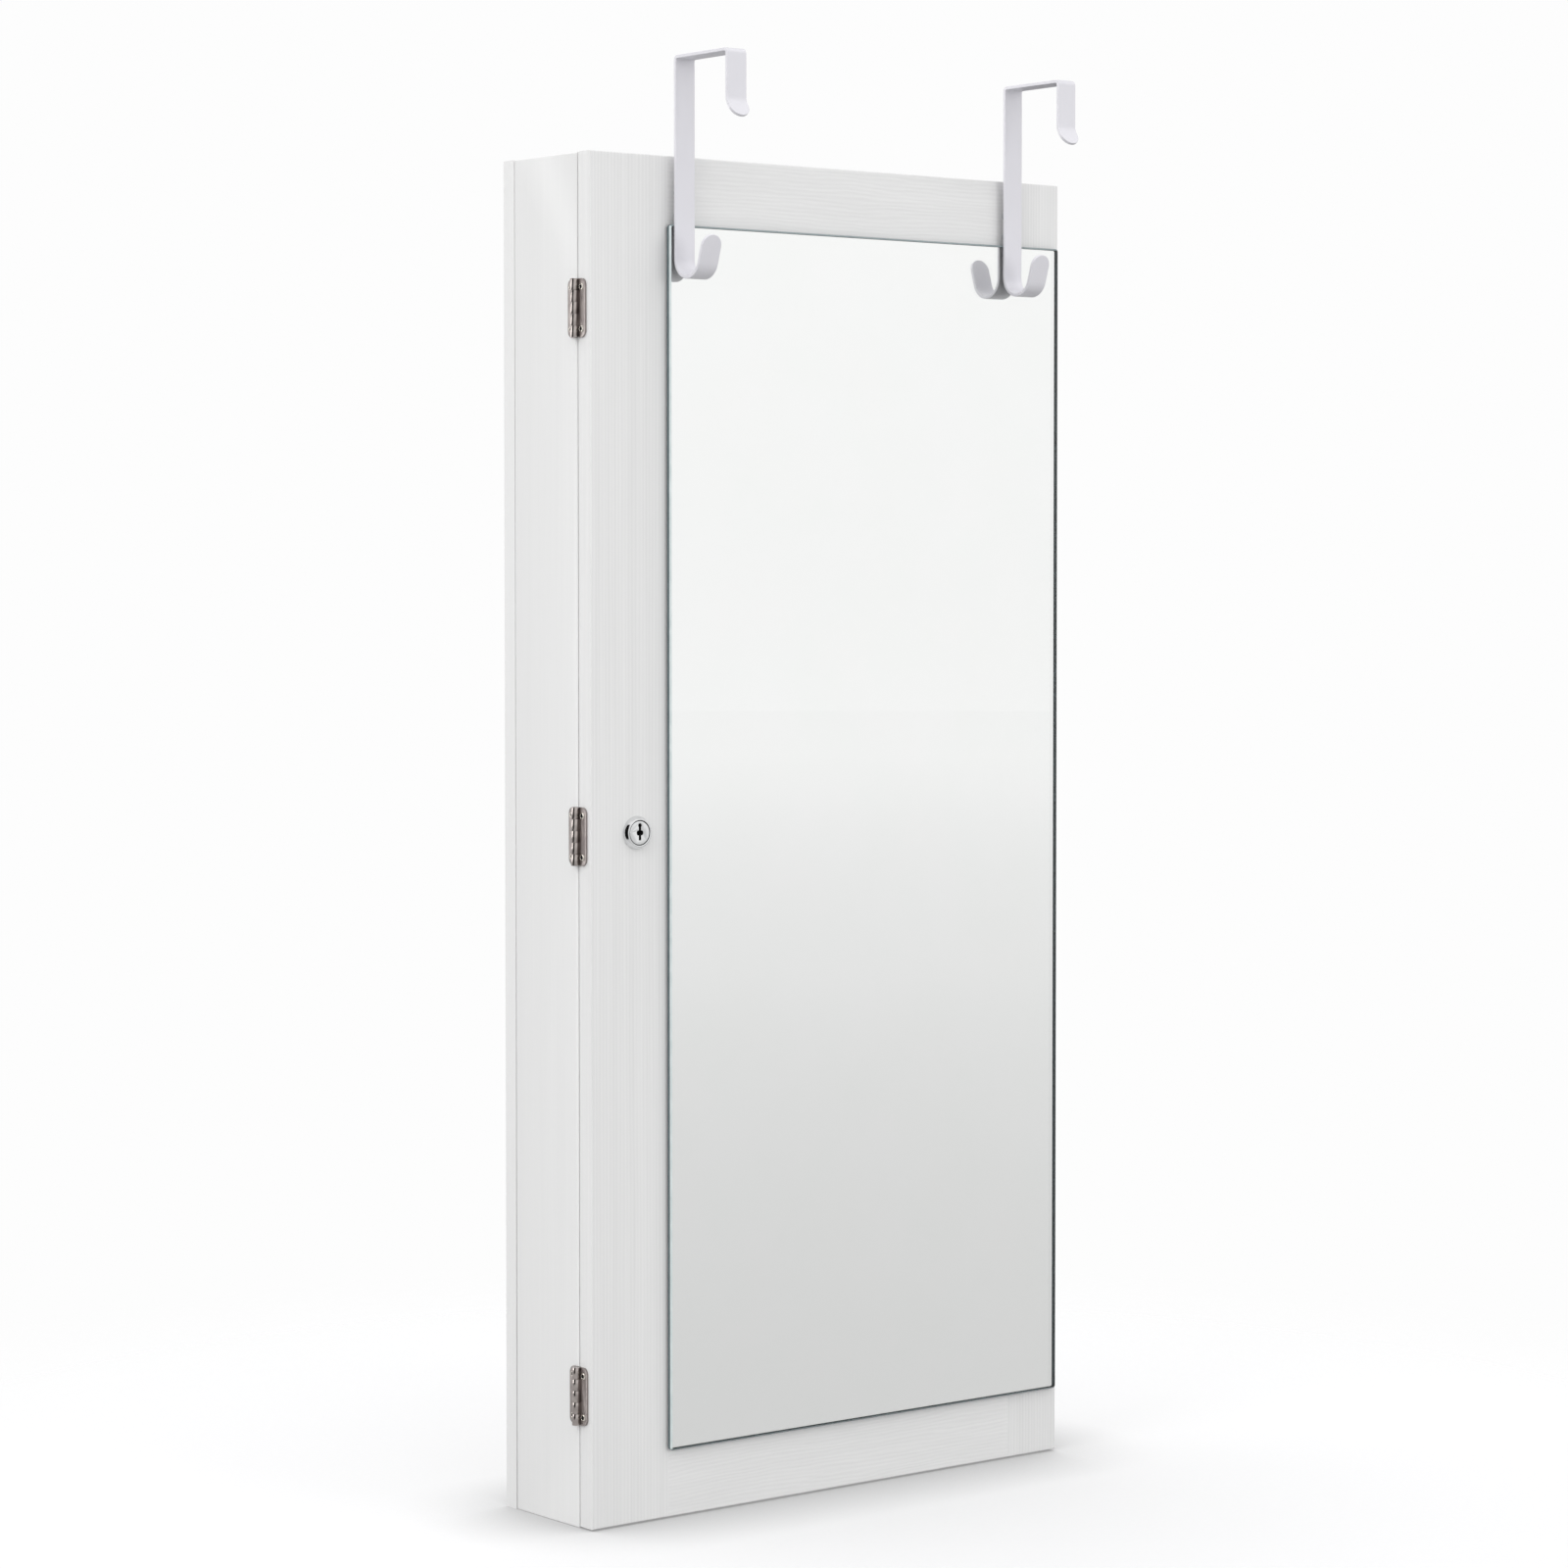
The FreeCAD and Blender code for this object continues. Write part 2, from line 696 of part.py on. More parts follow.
def make_shelves():
    """Makes three shelves, each with a lip on its front edge, and the lip on the bottom panel."""
    lip = (INNER_WIDTH, "lip_thick", "shelf_thick + lip_rise")
    top_edges = [("y-", "z+"), ("y+", "z+")]
    lip_front = f"{SHELF_FRONT} - lip_thick"
    for name, level in (("upper", UPPER_LEVEL), ("middle", MIDDLE_LEVEL), ("lower", LOWER_LEVEL)):
        shelf = (INNER_WIDTH, "shelf_depth", "shelf_thick")
        keep(board(f"{name}_shelf", shelf, (INNER_LEFT, SHELF_FRONT, level)))
        keep(board(f"{name}_shelf_lip", lip, (INNER_LEFT, lip_front, level), top_edges))
    keep(board("bottom_lip", lip, (INNER_LEFT, lip_front, "cap_thick"), top_edges))


def make_necklace_rail():
    """Makes the rail under the top of the box and the round-headed pegs in it."""
    rail_front = f"({LINING_FRONT} - necklace_depth)"
    rail = (INNER_WIDTH, "necklace_depth", "necklace_height")
    front_edges = [("y-", "z+"), ("y-", "z-")]
    blank = board("rail_blank", rail, (INNER_LEFT, rail_front, NECKLACE_LEVEL), front_edges)
    level = f"{NECKLACE_LEVEL} + necklace_height / 2"
    shaft = rod("peg_shaft", "peg_radius", "peg_sunk + peg_reach", ("0", "0", "-peg_sunk"), UPWARD)
    head = doc.addObject("Part::Sphere", "peg_ball")
    bind(head, "Radius", "peg_head")
    place(head, ("0", "0", "peg_reach"))
    bore = rod("peg_bore", "peg_radius + dowel_play", "peg_sunk + dowel_play", ("0", "0", "0"), UPWARD)
    spots = [(across, rail_front, level) for across in PEGS]
    keep(cut("necklace_rail", blank, [copies("peg_bores", bore, spots, TO_BACK)]))
    keep(copies("necklace_pegs", fuse("peg", [shaft, head]), spots, TO_FRONT))


def make_earring_bars():
    """Makes two thin bars with slots along the front edge for hanging earrings."""
    for name, level in (("upper_earring_bar", EARRING_HIGH), ("lower_earring_bar", EARRING_LOW)):
        extent = (INNER_WIDTH, "earring_depth", "earring_thick")
        body = board(name, extent, (INNER_LEFT, f"{LINING_FRONT} - earring_depth", level))
        mouth = sketch_on(body, "XY_Plane", name + "_slot")
        add_rectangle(mouth, "slot_wide", "slot_deep", ("slot_edge", "0"))
        slot = pocket(body, mouth, "earring_thick", reverse=True)
        row = body.newObject("PartDesign::LinearPattern", name + "_row")
        row.Originals = [slot]
        row.Direction = (mouth, ["H_Axis"])
        span = f"floor(({INNER_WIDTH} - 2 * slot_edge) / slot_pitch)"
        bind(row, "Length", f"{span} * slot_pitch")
        bind(row, "Occurrences", f"{span} + 1")
        body.Tip = row
        keep(body)


def make_ring_tray():
    """Makes a shallow tray on the lining and the soft rolls that hold rings between them."""
    extent = ("tray_width", "tray_depth", "tray_height")
    body = board("ring_tray", extent, (TRAY_LEFT, TRAY_FRONT, TRAY_LEVEL))
    mouth = sketch_on(body, "XZ_Plane", "tray_mouth")
    wide, tall = "tray_width - 2 * tray_wall", "tray_height - 2 * tray_wall"
    add_rectangle(mouth, wide, tall, ("tray_wall", "tray_wall"))
    pocket(body, mouth, "tray_depth - tray_back")
    keep(body)

    roll = doc.addObject("PartDesign::Body", "roll")
    section = sketch_on(roll, "XY_Plane", "roll_section")
    add_circle(section, ROLL_RADIUS, ("0", "0"))
    length = roll.newObject("PartDesign::Pad", "roll_pad")
    length.Profile = section
    bind(length, "Length", "tray_width - 2 * tray_wall - 2 * soft_gap")
    doc.recompute()
    fillet(roll, length, ["Edge1", "Edge3"], "roll_end")
    depth = f"{LINING_FRONT} - tray_back - soft_gap - {ROLL_RADIUS}"
    foot = f"{TRAY_LEVEL} + tray_wall"
    levels = [f"{foot} + {ROLL_ROOM} * ({index} + 0.5)" for index in range(SIZES["roll_count"])]
    spots = [(f"{TRAY_LEFT} + tray_wall + soft_gap", depth, level) for level in levels]
    keep(copies("ring_rolls", roll, spots, TO_RIGHT))


def make_bracelet_rods():
    """Makes two cheeks that stand off the lining and the two rods between them."""
    extent = ("cheek_thick", "cheek_depth", "tray_height")
    front = f"{LINING_FRONT} - cheek_depth"
    cheeks = [
        board(name, extent, (across, front, TRAY_LEVEL), [("y-", "z+"), ("y-", "z-")], "cheek_corner")
        for name, across in (("left_cheek", RODS_LEFT), ("right_cheek", RODS_RIGHT))
    ]
    start = f"({RODS_LEFT} + cheek_thick - rod_sunk)"
    length = f"{RODS_RIGHT} + rod_sunk - {start}"
    bore_radius, bore_length = "rod_radius + dowel_play", f"{length} + 2 * dowel_play"
    rods, bores = [], []
    for level in ("rod_high", "rod_low"):
        spot = (start, f"{LINING_FRONT} - rod_stand", f"{TRAY_LEVEL} + {level}")
        rods.append(rod("bracelet_rod", "rod_radius", length, spot, TO_RIGHT))
        bore_start = (f"{start} - dowel_play",) + spot[1:]
        bores.append(rod("rod_bore", bore_radius, bore_length, bore_start, TO_RIGHT))
    keep(gather("bracelet_rods", rods))
    keep(cut("rod_cheeks", gather("cheek_blanks", cheeks), bores))


def make_door_frame():
    """Makes the door's stiles, rails, panel and lining, and the dowels in its joints."""
    starts = door_dowels()
    dowel = rod("door_dowel_rod", "dowel_radius", "door_dowel", ("0", "0", "0"), UPWARD)
    sink, deep = "dowel_radius + dowel_play", "door_dowel + 2 * dowel_play"
    hole = rod("door_dowel_hole", sink, deep, ("0", "0", "0"), UPWARD)
    outset = [(f"{x} - dowel_play", y, z) for x, y, z in starts]
    dowel_bores = copies("door_dowel_bores", hole, outset, TO_RIGHT)
    keep(copies("door_dowels", dowel, starts, TO_RIGHT))

    ends = [("y-", "z+"), ("y-", "z-")]
    left = board("left_stile_blank", ("stile_left", "door_thick", DOOR_HEIGHT), (LEFT, FRONT, "door_lift"),
                 [("x-", "y-")] + ends)
    leaf_bores = copies("door_leaf_bores", leaf_hole, leaf_screw_spots(DOOR_LEAF_SCREWS), TO_LEFT)
    lock_bore = rod("lock_bore", "barrel_radius + barrel_play", "door_thick + 2",
                    (LOCK_X, f"{FRONT} - 1", LOCK_LEVEL), TO_BACK)
    keep(cut("door_left_stile", left, [dowel_bores, leaf_bores, lock_bore]))
    right = board("right_stile_blank", ("stile_right", "door_thick", DOOR_HEIGHT),
                  (f"{RIGHT} - stile_right", FRONT, "door_lift"), [("x+", "y-")] + ends)
    keeper_bore = copies("keeper_bore", wood_hole, KEEPER_SCREW, TO_BACK)
    keep(cut("door_right_stile", right, [dowel_bores, keeper_bore]))

    stud_hole = rod("stud_hole", "stud_radius + stud_play", "door_thick + 2", ("0", "0", "0"), UPWARD)
    stud_starts = [(across, f"{FRONT} - 1", level) for across in STRAPS.values() for level in STUD_LEVELS]
    stud_bores = copies("stud_bores", stud_hole, stud_starts, TO_BACK)
    top = board("top_rail_blank", (RAIL_LENGTH, "door_thick", "rail_top"),
                (RAIL_START, FRONT, "cab_height - rail_top"), [("y-", "z+")])
    keep(cut("door_top_rail", top, [dowel_bores, stud_bores]))
    bottom = board("bottom_rail_blank", (RAIL_LENGTH, "door_thick", "rail_bottom"),
                   (RAIL_START, FRONT, "door_lift"), [("y-", "z-")])
    keep(cut("door_bottom_rail", bottom, [dowel_bores]))

    panel = (RAIL_LENGTH, "panel_thick", PANEL_HEIGHT)
    keep(board("door_panel", panel, (RAIL_START, FRONT, PANEL_LOW)))
    lining = (RAIL_LENGTH, "door_lining", PANEL_HEIGHT)
    lining_front = f"({FRONT} + panel_thick)"
    keep(board("door_lining", lining, (RAIL_START, lining_front, PANEL_LOW)))

    faces = ["".join(pair) for pair in itertools.product("xyz", "-+")]
    every_edge = [pair for pair in itertools.combinations(faces, 2) if pair[0][0] != pair[1][0]]
    pad = ("stud_pad_width", "stud_pad_thick", "stud_pad_height")
    pad_left = f"{RAIL_START} + ({RAIL_LENGTH} - stud_pad_width) / 2"
    pad_foot = f"{PANEL_LOW} + {PANEL_HEIGHT} - stud_pad_drop - stud_pad_height"
    pad_at = (pad_left, f"{lining_front} + door_lining", pad_foot)
    keep(board("stud_pad", pad, pad_at, every_edge, "stud_pad_round"))


def make_mirror():
    """Makes the frameless mirror, with ground edges and small round corners, and its tape strips."""
    body = board("mirror_glass", (MIRROR_WIDTH, "mirror_thick", MIRROR_HEIGHT),
                 (MIRROR_LEFT, MIRROR_FRONT, "mirror_below"),
                 [("x-", "z-"), ("x-", "z+"), ("x+", "z-"), ("x+", "z+")], "mirror_corner")
    doc.recompute()
    rounded = body.Tip
    front = rounded.Shape.BoundBox.YMin
    rim = [
        f"Edge{index}" for index, edge in enumerate(rounded.Shape.Edges, 1)
        if all(abs(end.Point.y - front) < TOUCHING for end in edge.Vertexes)
    ]
    arris = body.newObject("PartDesign::Chamfer", "mirror_arris_cut")
    arris.Base = (rounded, rim)
    bind(arris, "Size", "mirror_arris")
    keep(body)

    extent = ("tape_wide", "tape_thick", f"{MIRROR_HEIGHT} - 2 * tape_inset")
    pitch = f"({MIRROR_WIDTH} - 2 * tape_inset - tape_wide) / (tape_count - 1)"
    lefts = [f"{MIRROR_LEFT} + tape_inset + {pitch} * {index}" for index in range(SIZES["tape_count"])]
    strips = [(left, f"{FRONT} - tape_thick", "mirror_below + tape_inset") for left in lefts]
    keep(copies("mirror_tape", block("tape_strip", extent, ("0", "0", "0")), strips))


def make_leaf(name, owner, level, edge, own, others):
    """Makes one hinge leaf with its own knuckles, cleared round the other leaf's knuckles."""
    front, outer_side = (CASE_FRONT, "y+") if owner == "case" else (f"{DOOR_BACK} - leaf_width", "y-")
    foot = f"({level} - leaf_height / 2)"
    plate = board(name + "_plate", ("leaf_thick", "leaf_width", "leaf_height"),
                  (f"{LEFT} - leaf_thick", front, foot),
                  [(outer_side, "z-"), (outer_side, "z+")], "leaf_corner")
    knuckles = [
        rod(name + "_knuckle", "knuckle_radius", f"{KNUCKLE} - knuckle_play",
            (HINGE_X, HINGE_Y, f"{foot} + {KNUCKLE} * {index} + knuckle_play / 2"), UPWARD)
        for index in own
    ]
    clearings = [
        rod(name + "_clearing", "knuckle_radius + knuckle_gap", f"{KNUCKLE} + knuckle_play",
            (HINGE_X, HINGE_Y, f"{foot} + {KNUCKLE} * {index} - knuckle_play / 2"), UPWARD)
        for index in others
    ]
    bore = rod(name + "_bore", "pin_radius + pin_play", "leaf_height + 2",
               (HINGE_X, HINGE_Y, f"{foot} - 1"), UPWARD)
    spots = [(f"{LEFT} - leaf_thick", edge, f"{level} {sign} leaf_screw_spread") for sign in "+-"]
    screw_bores = copies(name + "_screw_bores", leaf_hole, spots, TO_LEFT)
    solid = fuse(name + "_solid", [plate] + knuckles)
    keep(cut(name, solid, [bore, screw_bores] + clearings))


def make_hinges():
    """Makes three butt hinges whose leaves lie on the left side, across the seam."""
    for place_name, level in HINGES.items():
        make_leaf(f"{place_name}_hinge_case_leaf", "case", level, CASE_LEAF_SCREWS, (0, 2, 4), (1, 3))
        make_leaf(f"{place_name}_hinge_door_leaf", "door", level, DOOR_LEAF_SCREWS, (1, 3), (0, 2, 4))
        keep(rod(f"{place_name}_hinge_pin", "pin_radius", "leaf_height",
                 (HINGE_X, HINGE_Y, f"{level} - leaf_height / 2"), UPWARD))
    leaf_screw = screw("leaf_screw", "leaf")
    keep(copies("case_leaf_screws", leaf_screw, leaf_screw_spots(CASE_LEAF_SCREWS), TO_LEFT))
    keep(copies("door_leaf_screws", leaf_screw, leaf_screw_spots(DOOR_LEAF_SCREWS), TO_LEFT))


def make_lock():
    """Makes the cam lock in the left stile: housing, nut, plug, cam and the cam's screw."""
    outward = Rotation(UPWARD, TO_FRONT)
    at = (LOCK_X, FRONT, LOCK_LEVEL)
    bore = "shaft_radius + plug_play"
    seat = "collar_height - face_deep"
    housing = turned("lock_housing", [
        (bore, "-barrel_length"),
        ("barrel_radius", "-barrel_length"),
        ("barrel_radius", "0"),
        ("flange_radius", "0"),
        ("rim_radius", "collar_height"),
        ("face_radius + plug_play", "collar_height"),
        ("face_radius + plug_play", seat),
        (bore, seat),
    ])
    keep(place(housing, at, outward))

    end = "-barrel_length - cam_gap"
    face = "collar_height - face_sunk"
    plug = turned("lock_plug", [
        ("0", face),
        ("face_radius - face_bevel", face),
        ("face_radius", f"{face} - face_bevel"),
        ("face_radius", f"{seat} + plug_play"),
        ("shaft_radius", f"{seat} + plug_play"),
        ("shaft_radius", end),
        ("0", end),
    ])
    square = sketch_on(plug, "XY_Plane", "plug_square", end)
    add_rectangle(square, "square_side", "square_side", "centred")
    drive = plug.newObject("PartDesign::Pad", "plug_drive")
    drive.Profile = square
    drive.Reversed = True
    bind(drive, "Length", "cam_thick - plug_play")
    tapping = sketch_on(plug, "XY_Plane", "plug_tapping", f"{end} - cam_thick")
    add_circle(tapping, "cam_screw_radius + plug_play", ("0", "0"))
    pocket(plug, tapping, "cam_screw_length + plug_play", reverse=True)
    slot = sketch_on(plug, "XY_Plane", "keyslot", face)
    add_rectangle(slot, "keyslot_wide", "keyslot_tall", "centred")
    pocket(plug, slot, "keyhole_deep")
    boss = sketch_on(plug, "XY_Plane", "keyboss", face)
    add_rectangle(boss, "keyboss_wide", "keyboss_tall", "centred")
    boss_cut = pocket(plug, boss, "keyhole_deep")
    corners = [
        f"Edge{index}" for index, edge in enumerate(boss_cut.Shape.Edges, 1)
        if abs(edge.Length - size("keyhole_deep")) < TOUCHING
        and abs(abs(edge.CenterOfMass.x) - size("keyboss_wide") / 2) < TOUCHING
    ]
    fillet(plug, boss_cut, corners, "keyboss_round")
    bulb = sketch_on(plug, "XY_Plane", "keybulb", face)
    add_circle(bulb, "keybulb_radius", ("0", "keyslot_tall / 2"))
    pocket(plug, bulb, "keyhole_deep")
    keep(place(plug, at, outward))

    nut = hexagon("lock_nut_blank", "lock_nut_radius", "lock_nut_thick",
                  (LOCK_X, DOOR_BACK, LOCK_LEVEL), TO_BACK)
    thread = rod("lock_nut_bore", "barrel_radius + plug_play", "lock_nut_thick + 2",
                 (LOCK_X, f"{DOOR_BACK} - 1", LOCK_LEVEL), TO_BACK)
    keep(cut("lock_nut", nut, [thread]))
    make_cam()


def make_cam():
    """Makes the cam, hanging down when unlocked, and the screw that holds it on the plug."""
    centre = (LOCK_X, CAM_FRONT, LOCK_LEVEL)
    tip_level = f"({LOCK_LEVEL} - {CAM_REACH} + cam_tip)"
    cam = fuse("cam_blank", [
        rod("cam_hub_disc", "cam_hub", "cam_thick", centre, TO_BACK),
        rod("cam_tip_disc", "cam_tip", "cam_thick", (LOCK_X, CAM_FRONT, tip_level), TO_BACK),
        block("cam_web", ("2 * cam_tip", "cam_thick", f"{CAM_REACH} - cam_tip"),
              (f"{LOCK_X} - cam_tip", CAM_FRONT, tip_level)),
    ])
    wide = "(square_side + 2 * plug_play)"
    hole = block("cam_square", (wide, "cam_thick + 2", wide),
                 (f"{LOCK_X} - {wide} / 2", f"{CAM_FRONT} - 1", f"{LOCK_LEVEL} - {wide} / 2"))
    keep(cut("lock_cam", cam, [hole]))
    body = turned("cam_screw", [
        ("0", "cam_head_thick"),
        ("cam_head_radius - face_bevel", "cam_head_thick"),
        ("cam_head_radius", "cam_head_thick - face_bevel"),
        ("cam_head_radius", "0"),
        ("cam_screw_radius", "0"),
        ("cam_screw_radius", "-cam_screw_length"),
        ("0", "-cam_screw_length"),
    ])
    arms = (("cam_head_radius", "drive_wide"), ("drive_wide", "cam_head_radius"))
    for turn, extent in enumerate(arms):
        slot = sketch_on(body, "XY_Plane", f"cam_drive_{turn}", "cam_head_thick")
        add_rectangle(slot, *extent, "centred")
        pocket(body, slot, "drive_deep")
    keep(place(body, (LOCK_X, f"{CAM_FRONT} + cam_thick", LOCK_LEVEL), Rotation(UPWARD, TO_BACK)))


def make_strike_and_catch():
    """Makes the lock's strike on the left side and the magnetic catch on the right."""
    corner = (INNER_LEFT, STRIKE_FRONT, f"{LOCK_LEVEL} - strike_height / 2")
    strike = fuse("strike_blank", [
        block("strike_base", ("strike_thick", "strike_depth", "strike_height"), corner),
        block("strike_lip", (STRIKE_REACH, "strike_thick", "strike_height"), corner),
    ])
    keep(cut("lock_strike", strike, [copies("strike_plate_bores", wood_hole, STRIKE_SCREWS, TO_RIGHT)]))

    ears = block("catch_ears", ("ear_thick", "catch_depth", "ear_height"),
                 (f"{INNER_RIGHT} - ear_thick", CATCH_FRONT, f"{CATCH_LEVEL} - ear_height / 2"))
    case = block("catch_case", ("catch_width", "catch_depth", "catch_height"),
                 (f"{INNER_RIGHT} - catch_width", CATCH_FRONT, f"{CATCH_LEVEL} - catch_height / 2"))
    magnet_left = f"{INNER_RIGHT} - catch_width / 2 - magnet_width / 2"
    magnet_foot = f"{CATCH_LEVEL} - magnet_height / 2"
    cavity = block("magnet_cavity", ("magnet_width", "magnet_depth", "magnet_height"),
                   (magnet_left, CATCH_FRONT, magnet_foot))
    ear_bores = copies("ear_bores", wood_hole, CATCH_SCREWS, TO_LEFT)
    keep(cut("catch_housing", fuse("catch_blank", [ears, case]), [cavity, ear_bores]))
    slack = "2 * magnet_play"
    extent = (f"magnet_width - {slack}", "magnet_depth - magnet_play", f"magnet_height - {slack}")
    keep(board("catch_magnet", extent,
               (f"{magnet_left} + magnet_play", CATCH_FRONT, f"{magnet_foot} + magnet_play")))

    keeper = board("keeper_blank", ("keeper_width", "keeper_thick", "keeper_height"),
                   (f"{KEEPER_X} - keeper_width / 2", DOOR_BACK, f"{CATCH_LEVEL} - keeper_height / 2"),
                   [("x-", "z-"), ("x-", "z+"), ("x+", "z-"), ("x+", "z+")], "keeper_round")
    keep(cut("catch_keeper", keeper, [copies("keeper_plate_bore", wood_hole, KEEPER_SCREW, TO_BACK)]))

    wood_screw = screw("wood_screw", "wood")
    keep(gather("fitting_screws", [
        copies("strike_screws", wood_screw, STRIKE_SCREWS, TO_RIGHT),
        copies("catch_screws", wood_screw, CATCH_SCREWS, TO_LEFT),
    ]))
    keep(copies("keeper_screw", wood_screw, KEEPER_SCREW, TO_BACK))


# ---- hooks


def strap_path(sketch):
    """Draws the hook's centre line from the front tip, round the cradle, up and over to the short leg.

    The sketch's origin is the tip. It starts out at the size that its constraints then hold.
    """
    half = size("strap_thick") / 2
    radii = ("cradle_radius", "corner_radius", "flare_radius")
    cradle, corner, flare = (size(name) + half for name in radii)
    lean, splay = math.radians(size("tip_lean")), math.radians(size("flare_lean"))

    tip_end = Vector(math.sin(lean), -math.cos(lean), 0) * size("tip_length")
    cradle_centre = tip_end + Vector(math.cos(lean), math.sin(lean), 0) * cradle
    long_leg = cradle_centre.x + cradle
    top = cradle_centre.y - cradle + size("hook_rise") + size("hook_drop") - 2 * half
    short_leg = long_leg - size("hook_gap") - 2 * half
    leg_end = top + half - size("short_leg")

    def around(centre, radius, turn):
        return centre + Vector(math.cos(turn), math.sin(turn), 0) * radius

    back_corner = Vector(long_leg - corner, top - corner, 0)
    front_corner = Vector(short_leg + corner, top - corner, 0)
    flare_centre = Vector(short_leg - flare, leg_end, 0)
    flare_end = around(flare_centre, flare, -splay)
    eighth = math.pi / 4
    quarter = math.pi / 2
    tip_out = flare_end + Vector(-math.sin(splay), -math.cos(splay), 0) * size("flare_length")
    stops = [
        Vector(0, 0, 0), tip_end, Vector(long_leg, cradle_centre.y, 0), Vector(long_leg, back_corner.y, 0),
        Vector(back_corner.x, top, 0), Vector(front_corner.x, top, 0), Vector(short_leg, front_corner.y, 0),
        Vector(short_leg, leg_end, 0), flare_end, tip_out,
    ]
    bows = {
        1: around(cradle_centre, cradle, -quarter),
        3: around(back_corner, corner, eighth),
        5: around(front_corner, corner, quarter + eighth),
        7: around(flare_centre, flare, -splay / 2),
    }
    for index, (start, end) in enumerate(zip(stops, stops[1:])):
        bow = bows.get(index)
        sketch.addGeometry(Part.Arc(start, bow, end) if bow else Part.LineSegment(start, end))
    for index in range(len(stops) - 2):
        meeting = next(
            (one, other) for one, other in itertools.product((1, 2), repeat=2)
            if sketch.getPoint(index, one).distanceToPoint(sketch.getPoint(index + 1, other)) < TOUCHING
        )
        sketch.addConstraint(Constraint("Tangent", index, meeting[0], index + 1, meeting[1]))

    sketch.addConstraint(Constraint("Coincident", 0, 1, -1, 1))
    for upright in (2, 6):
        sketch.addConstraint(Constraint("Vertical", upright))
    sketch.addConstraint(Constraint("Horizontal", 4))
    bends = {1: ("cradle_radius", cradle), 3: ("corner_radius", corner), 5: ("corner_radius", corner)}
    bends[7] = ("flare_radius", flare)
    for index, (name, now) in bends.items():
        dimension(sketch, Constraint("Radius", index, now), f"{name} + strap_thick / 2")
    dimension(sketch, Constraint("Distance", 0, size("tip_length")), "tip_length")
    dimension(sketch, Constraint("DistanceX", 0, 1, 0, 2, tip_end.x), "tip_length * sin(tip_lean)")
    bar = back_corner.x - front_corner.x
    dimension(sketch, Constraint("DistanceX", 4, 2, 4, 1, bar), "hook_gap - 2 * corner_radius")
    bar_level = f"cab_height + hook_rise - strap_thick / 2 - {TIP_LEVEL}"
    dimension(sketch, Constraint("DistanceY", -1, 1, 4, 1, top), bar_level)
    dimension(sketch, Constraint("DistanceY", 6, 2, 4, 1, top - leg_end), "short_leg - strap_thick / 2")
    dimension(sketch, Constraint("Distance", 8, size("flare_length")), "flare_length")
    run = flare_end.x - tip_out.x
    dimension(sketch, Constraint("DistanceX", 8, 2, 8, 1, run), "flare_length * sin(flare_lean)")


CRADLE_RUN = "(cradle_radius + strap_thick / 2)"
CRADLE_LEVEL = f"(cab_height - hook_drop + strap_thick / 2 + {CRADLE_RUN})"
CRADLE_DEPTH = f"({MIRROR_FRONT} - strap_thick / 2 - {CRADLE_RUN})"
TIP_LEVEL = f"({CRADLE_LEVEL} - {CRADLE_RUN} * sin(tip_lean) + tip_length * cos(tip_lean))"
TIP_DEPTH = f"({CRADLE_DEPTH} - {CRADLE_RUN} * cos(tip_lean) - tip_length * sin(tip_lean))"


def make_hook(name, across):
    """Bends one flat steel strap into a cradle at the front, a long leg and an over-door bracket."""
    body = doc.addObject("PartDesign::Body", name)
    path = sketch_on(body, "YZ_Plane", name + "_path")
    strap_path(path)
    section = sketch_on(body, "XY_Plane", name + "_section")
    section.AttachmentOffset = Placement(Vector(), Rotation(TO_RIGHT, size("tip_lean")))
    bind(section, "AttachmentOffset.Rotation.Angle", "tip_lean")
    add_rectangle(section, "strap_width", "strap_thick", "centred")
    strap = body.newObject("PartDesign::AdditivePipe", name + "_strap")
    strap.Profile = section
    strap.Spine = (path, [])
    doc.recompute()
    if not path.FullyConstrained:
        raise RuntimeError(f"{path.Name} is loose")
    spare = strap.Shape.Volume - path.Shape.Length * size("strap_width") * size("strap_thick")
    print(f"{name}: strap volume off by {spare:.3f} mm3")
    corners = [
        f"Edge{index}" for index, edge in enumerate(strap.Shape.Edges, 1)
        if abs(edge.Length - size("strap_thick")) < TOUCHING and len(edge.Vertexes) == 2
    ]
    fillet(body, strap, corners, "(strap_width - tip_flat) / 2")
    keep(place(body, (across, TIP_DEPTH, TIP_LEVEL)))


def make_hooks():
    """Makes both hooks and the studs, spacers and nuts that hold them to the top rail."""
    for side, across in STRAPS.items():
        make_hook(f"{side}_hook", across)
    spots = [(across, MIRROR_FRONT, level) for across in STRAPS.values() for level in STUD_LEVELS]
    reach = "tape_thick + mirror_thick + door_thick + hook_nut_thick + stud_past_nut"
    stud = rod("stud", "stud_radius", reach, ("0", "0", "0"), UPWARD)
    keep(copies("hook_studs", stud, spots, TO_BACK))
    bore = rod("stud_way", "stud_radius + stud_play", "door_thick", ("0", "0", "-1"), UPWARD)
    ring = rod("spacer_ring", "spacer_radius", "tape_thick + mirror_thick", ("0", "0", "0"), UPWARD)
    keep(copies("hook_spacers", cut("spacer", ring, [bore]), spots, TO_BACK))
    block_nut = hexagon("hook_nut_blank", "hook_nut_radius", "hook_nut_thick", ("0", "0", "0"), UPWARD)
    nut_spots = [(across, DOOR_BACK, level) for across, _, level in spots]
    keep(copies("hook_nuts", cut("hook_nut", block_nut, [bore]), nut_spots, TO_BACK))


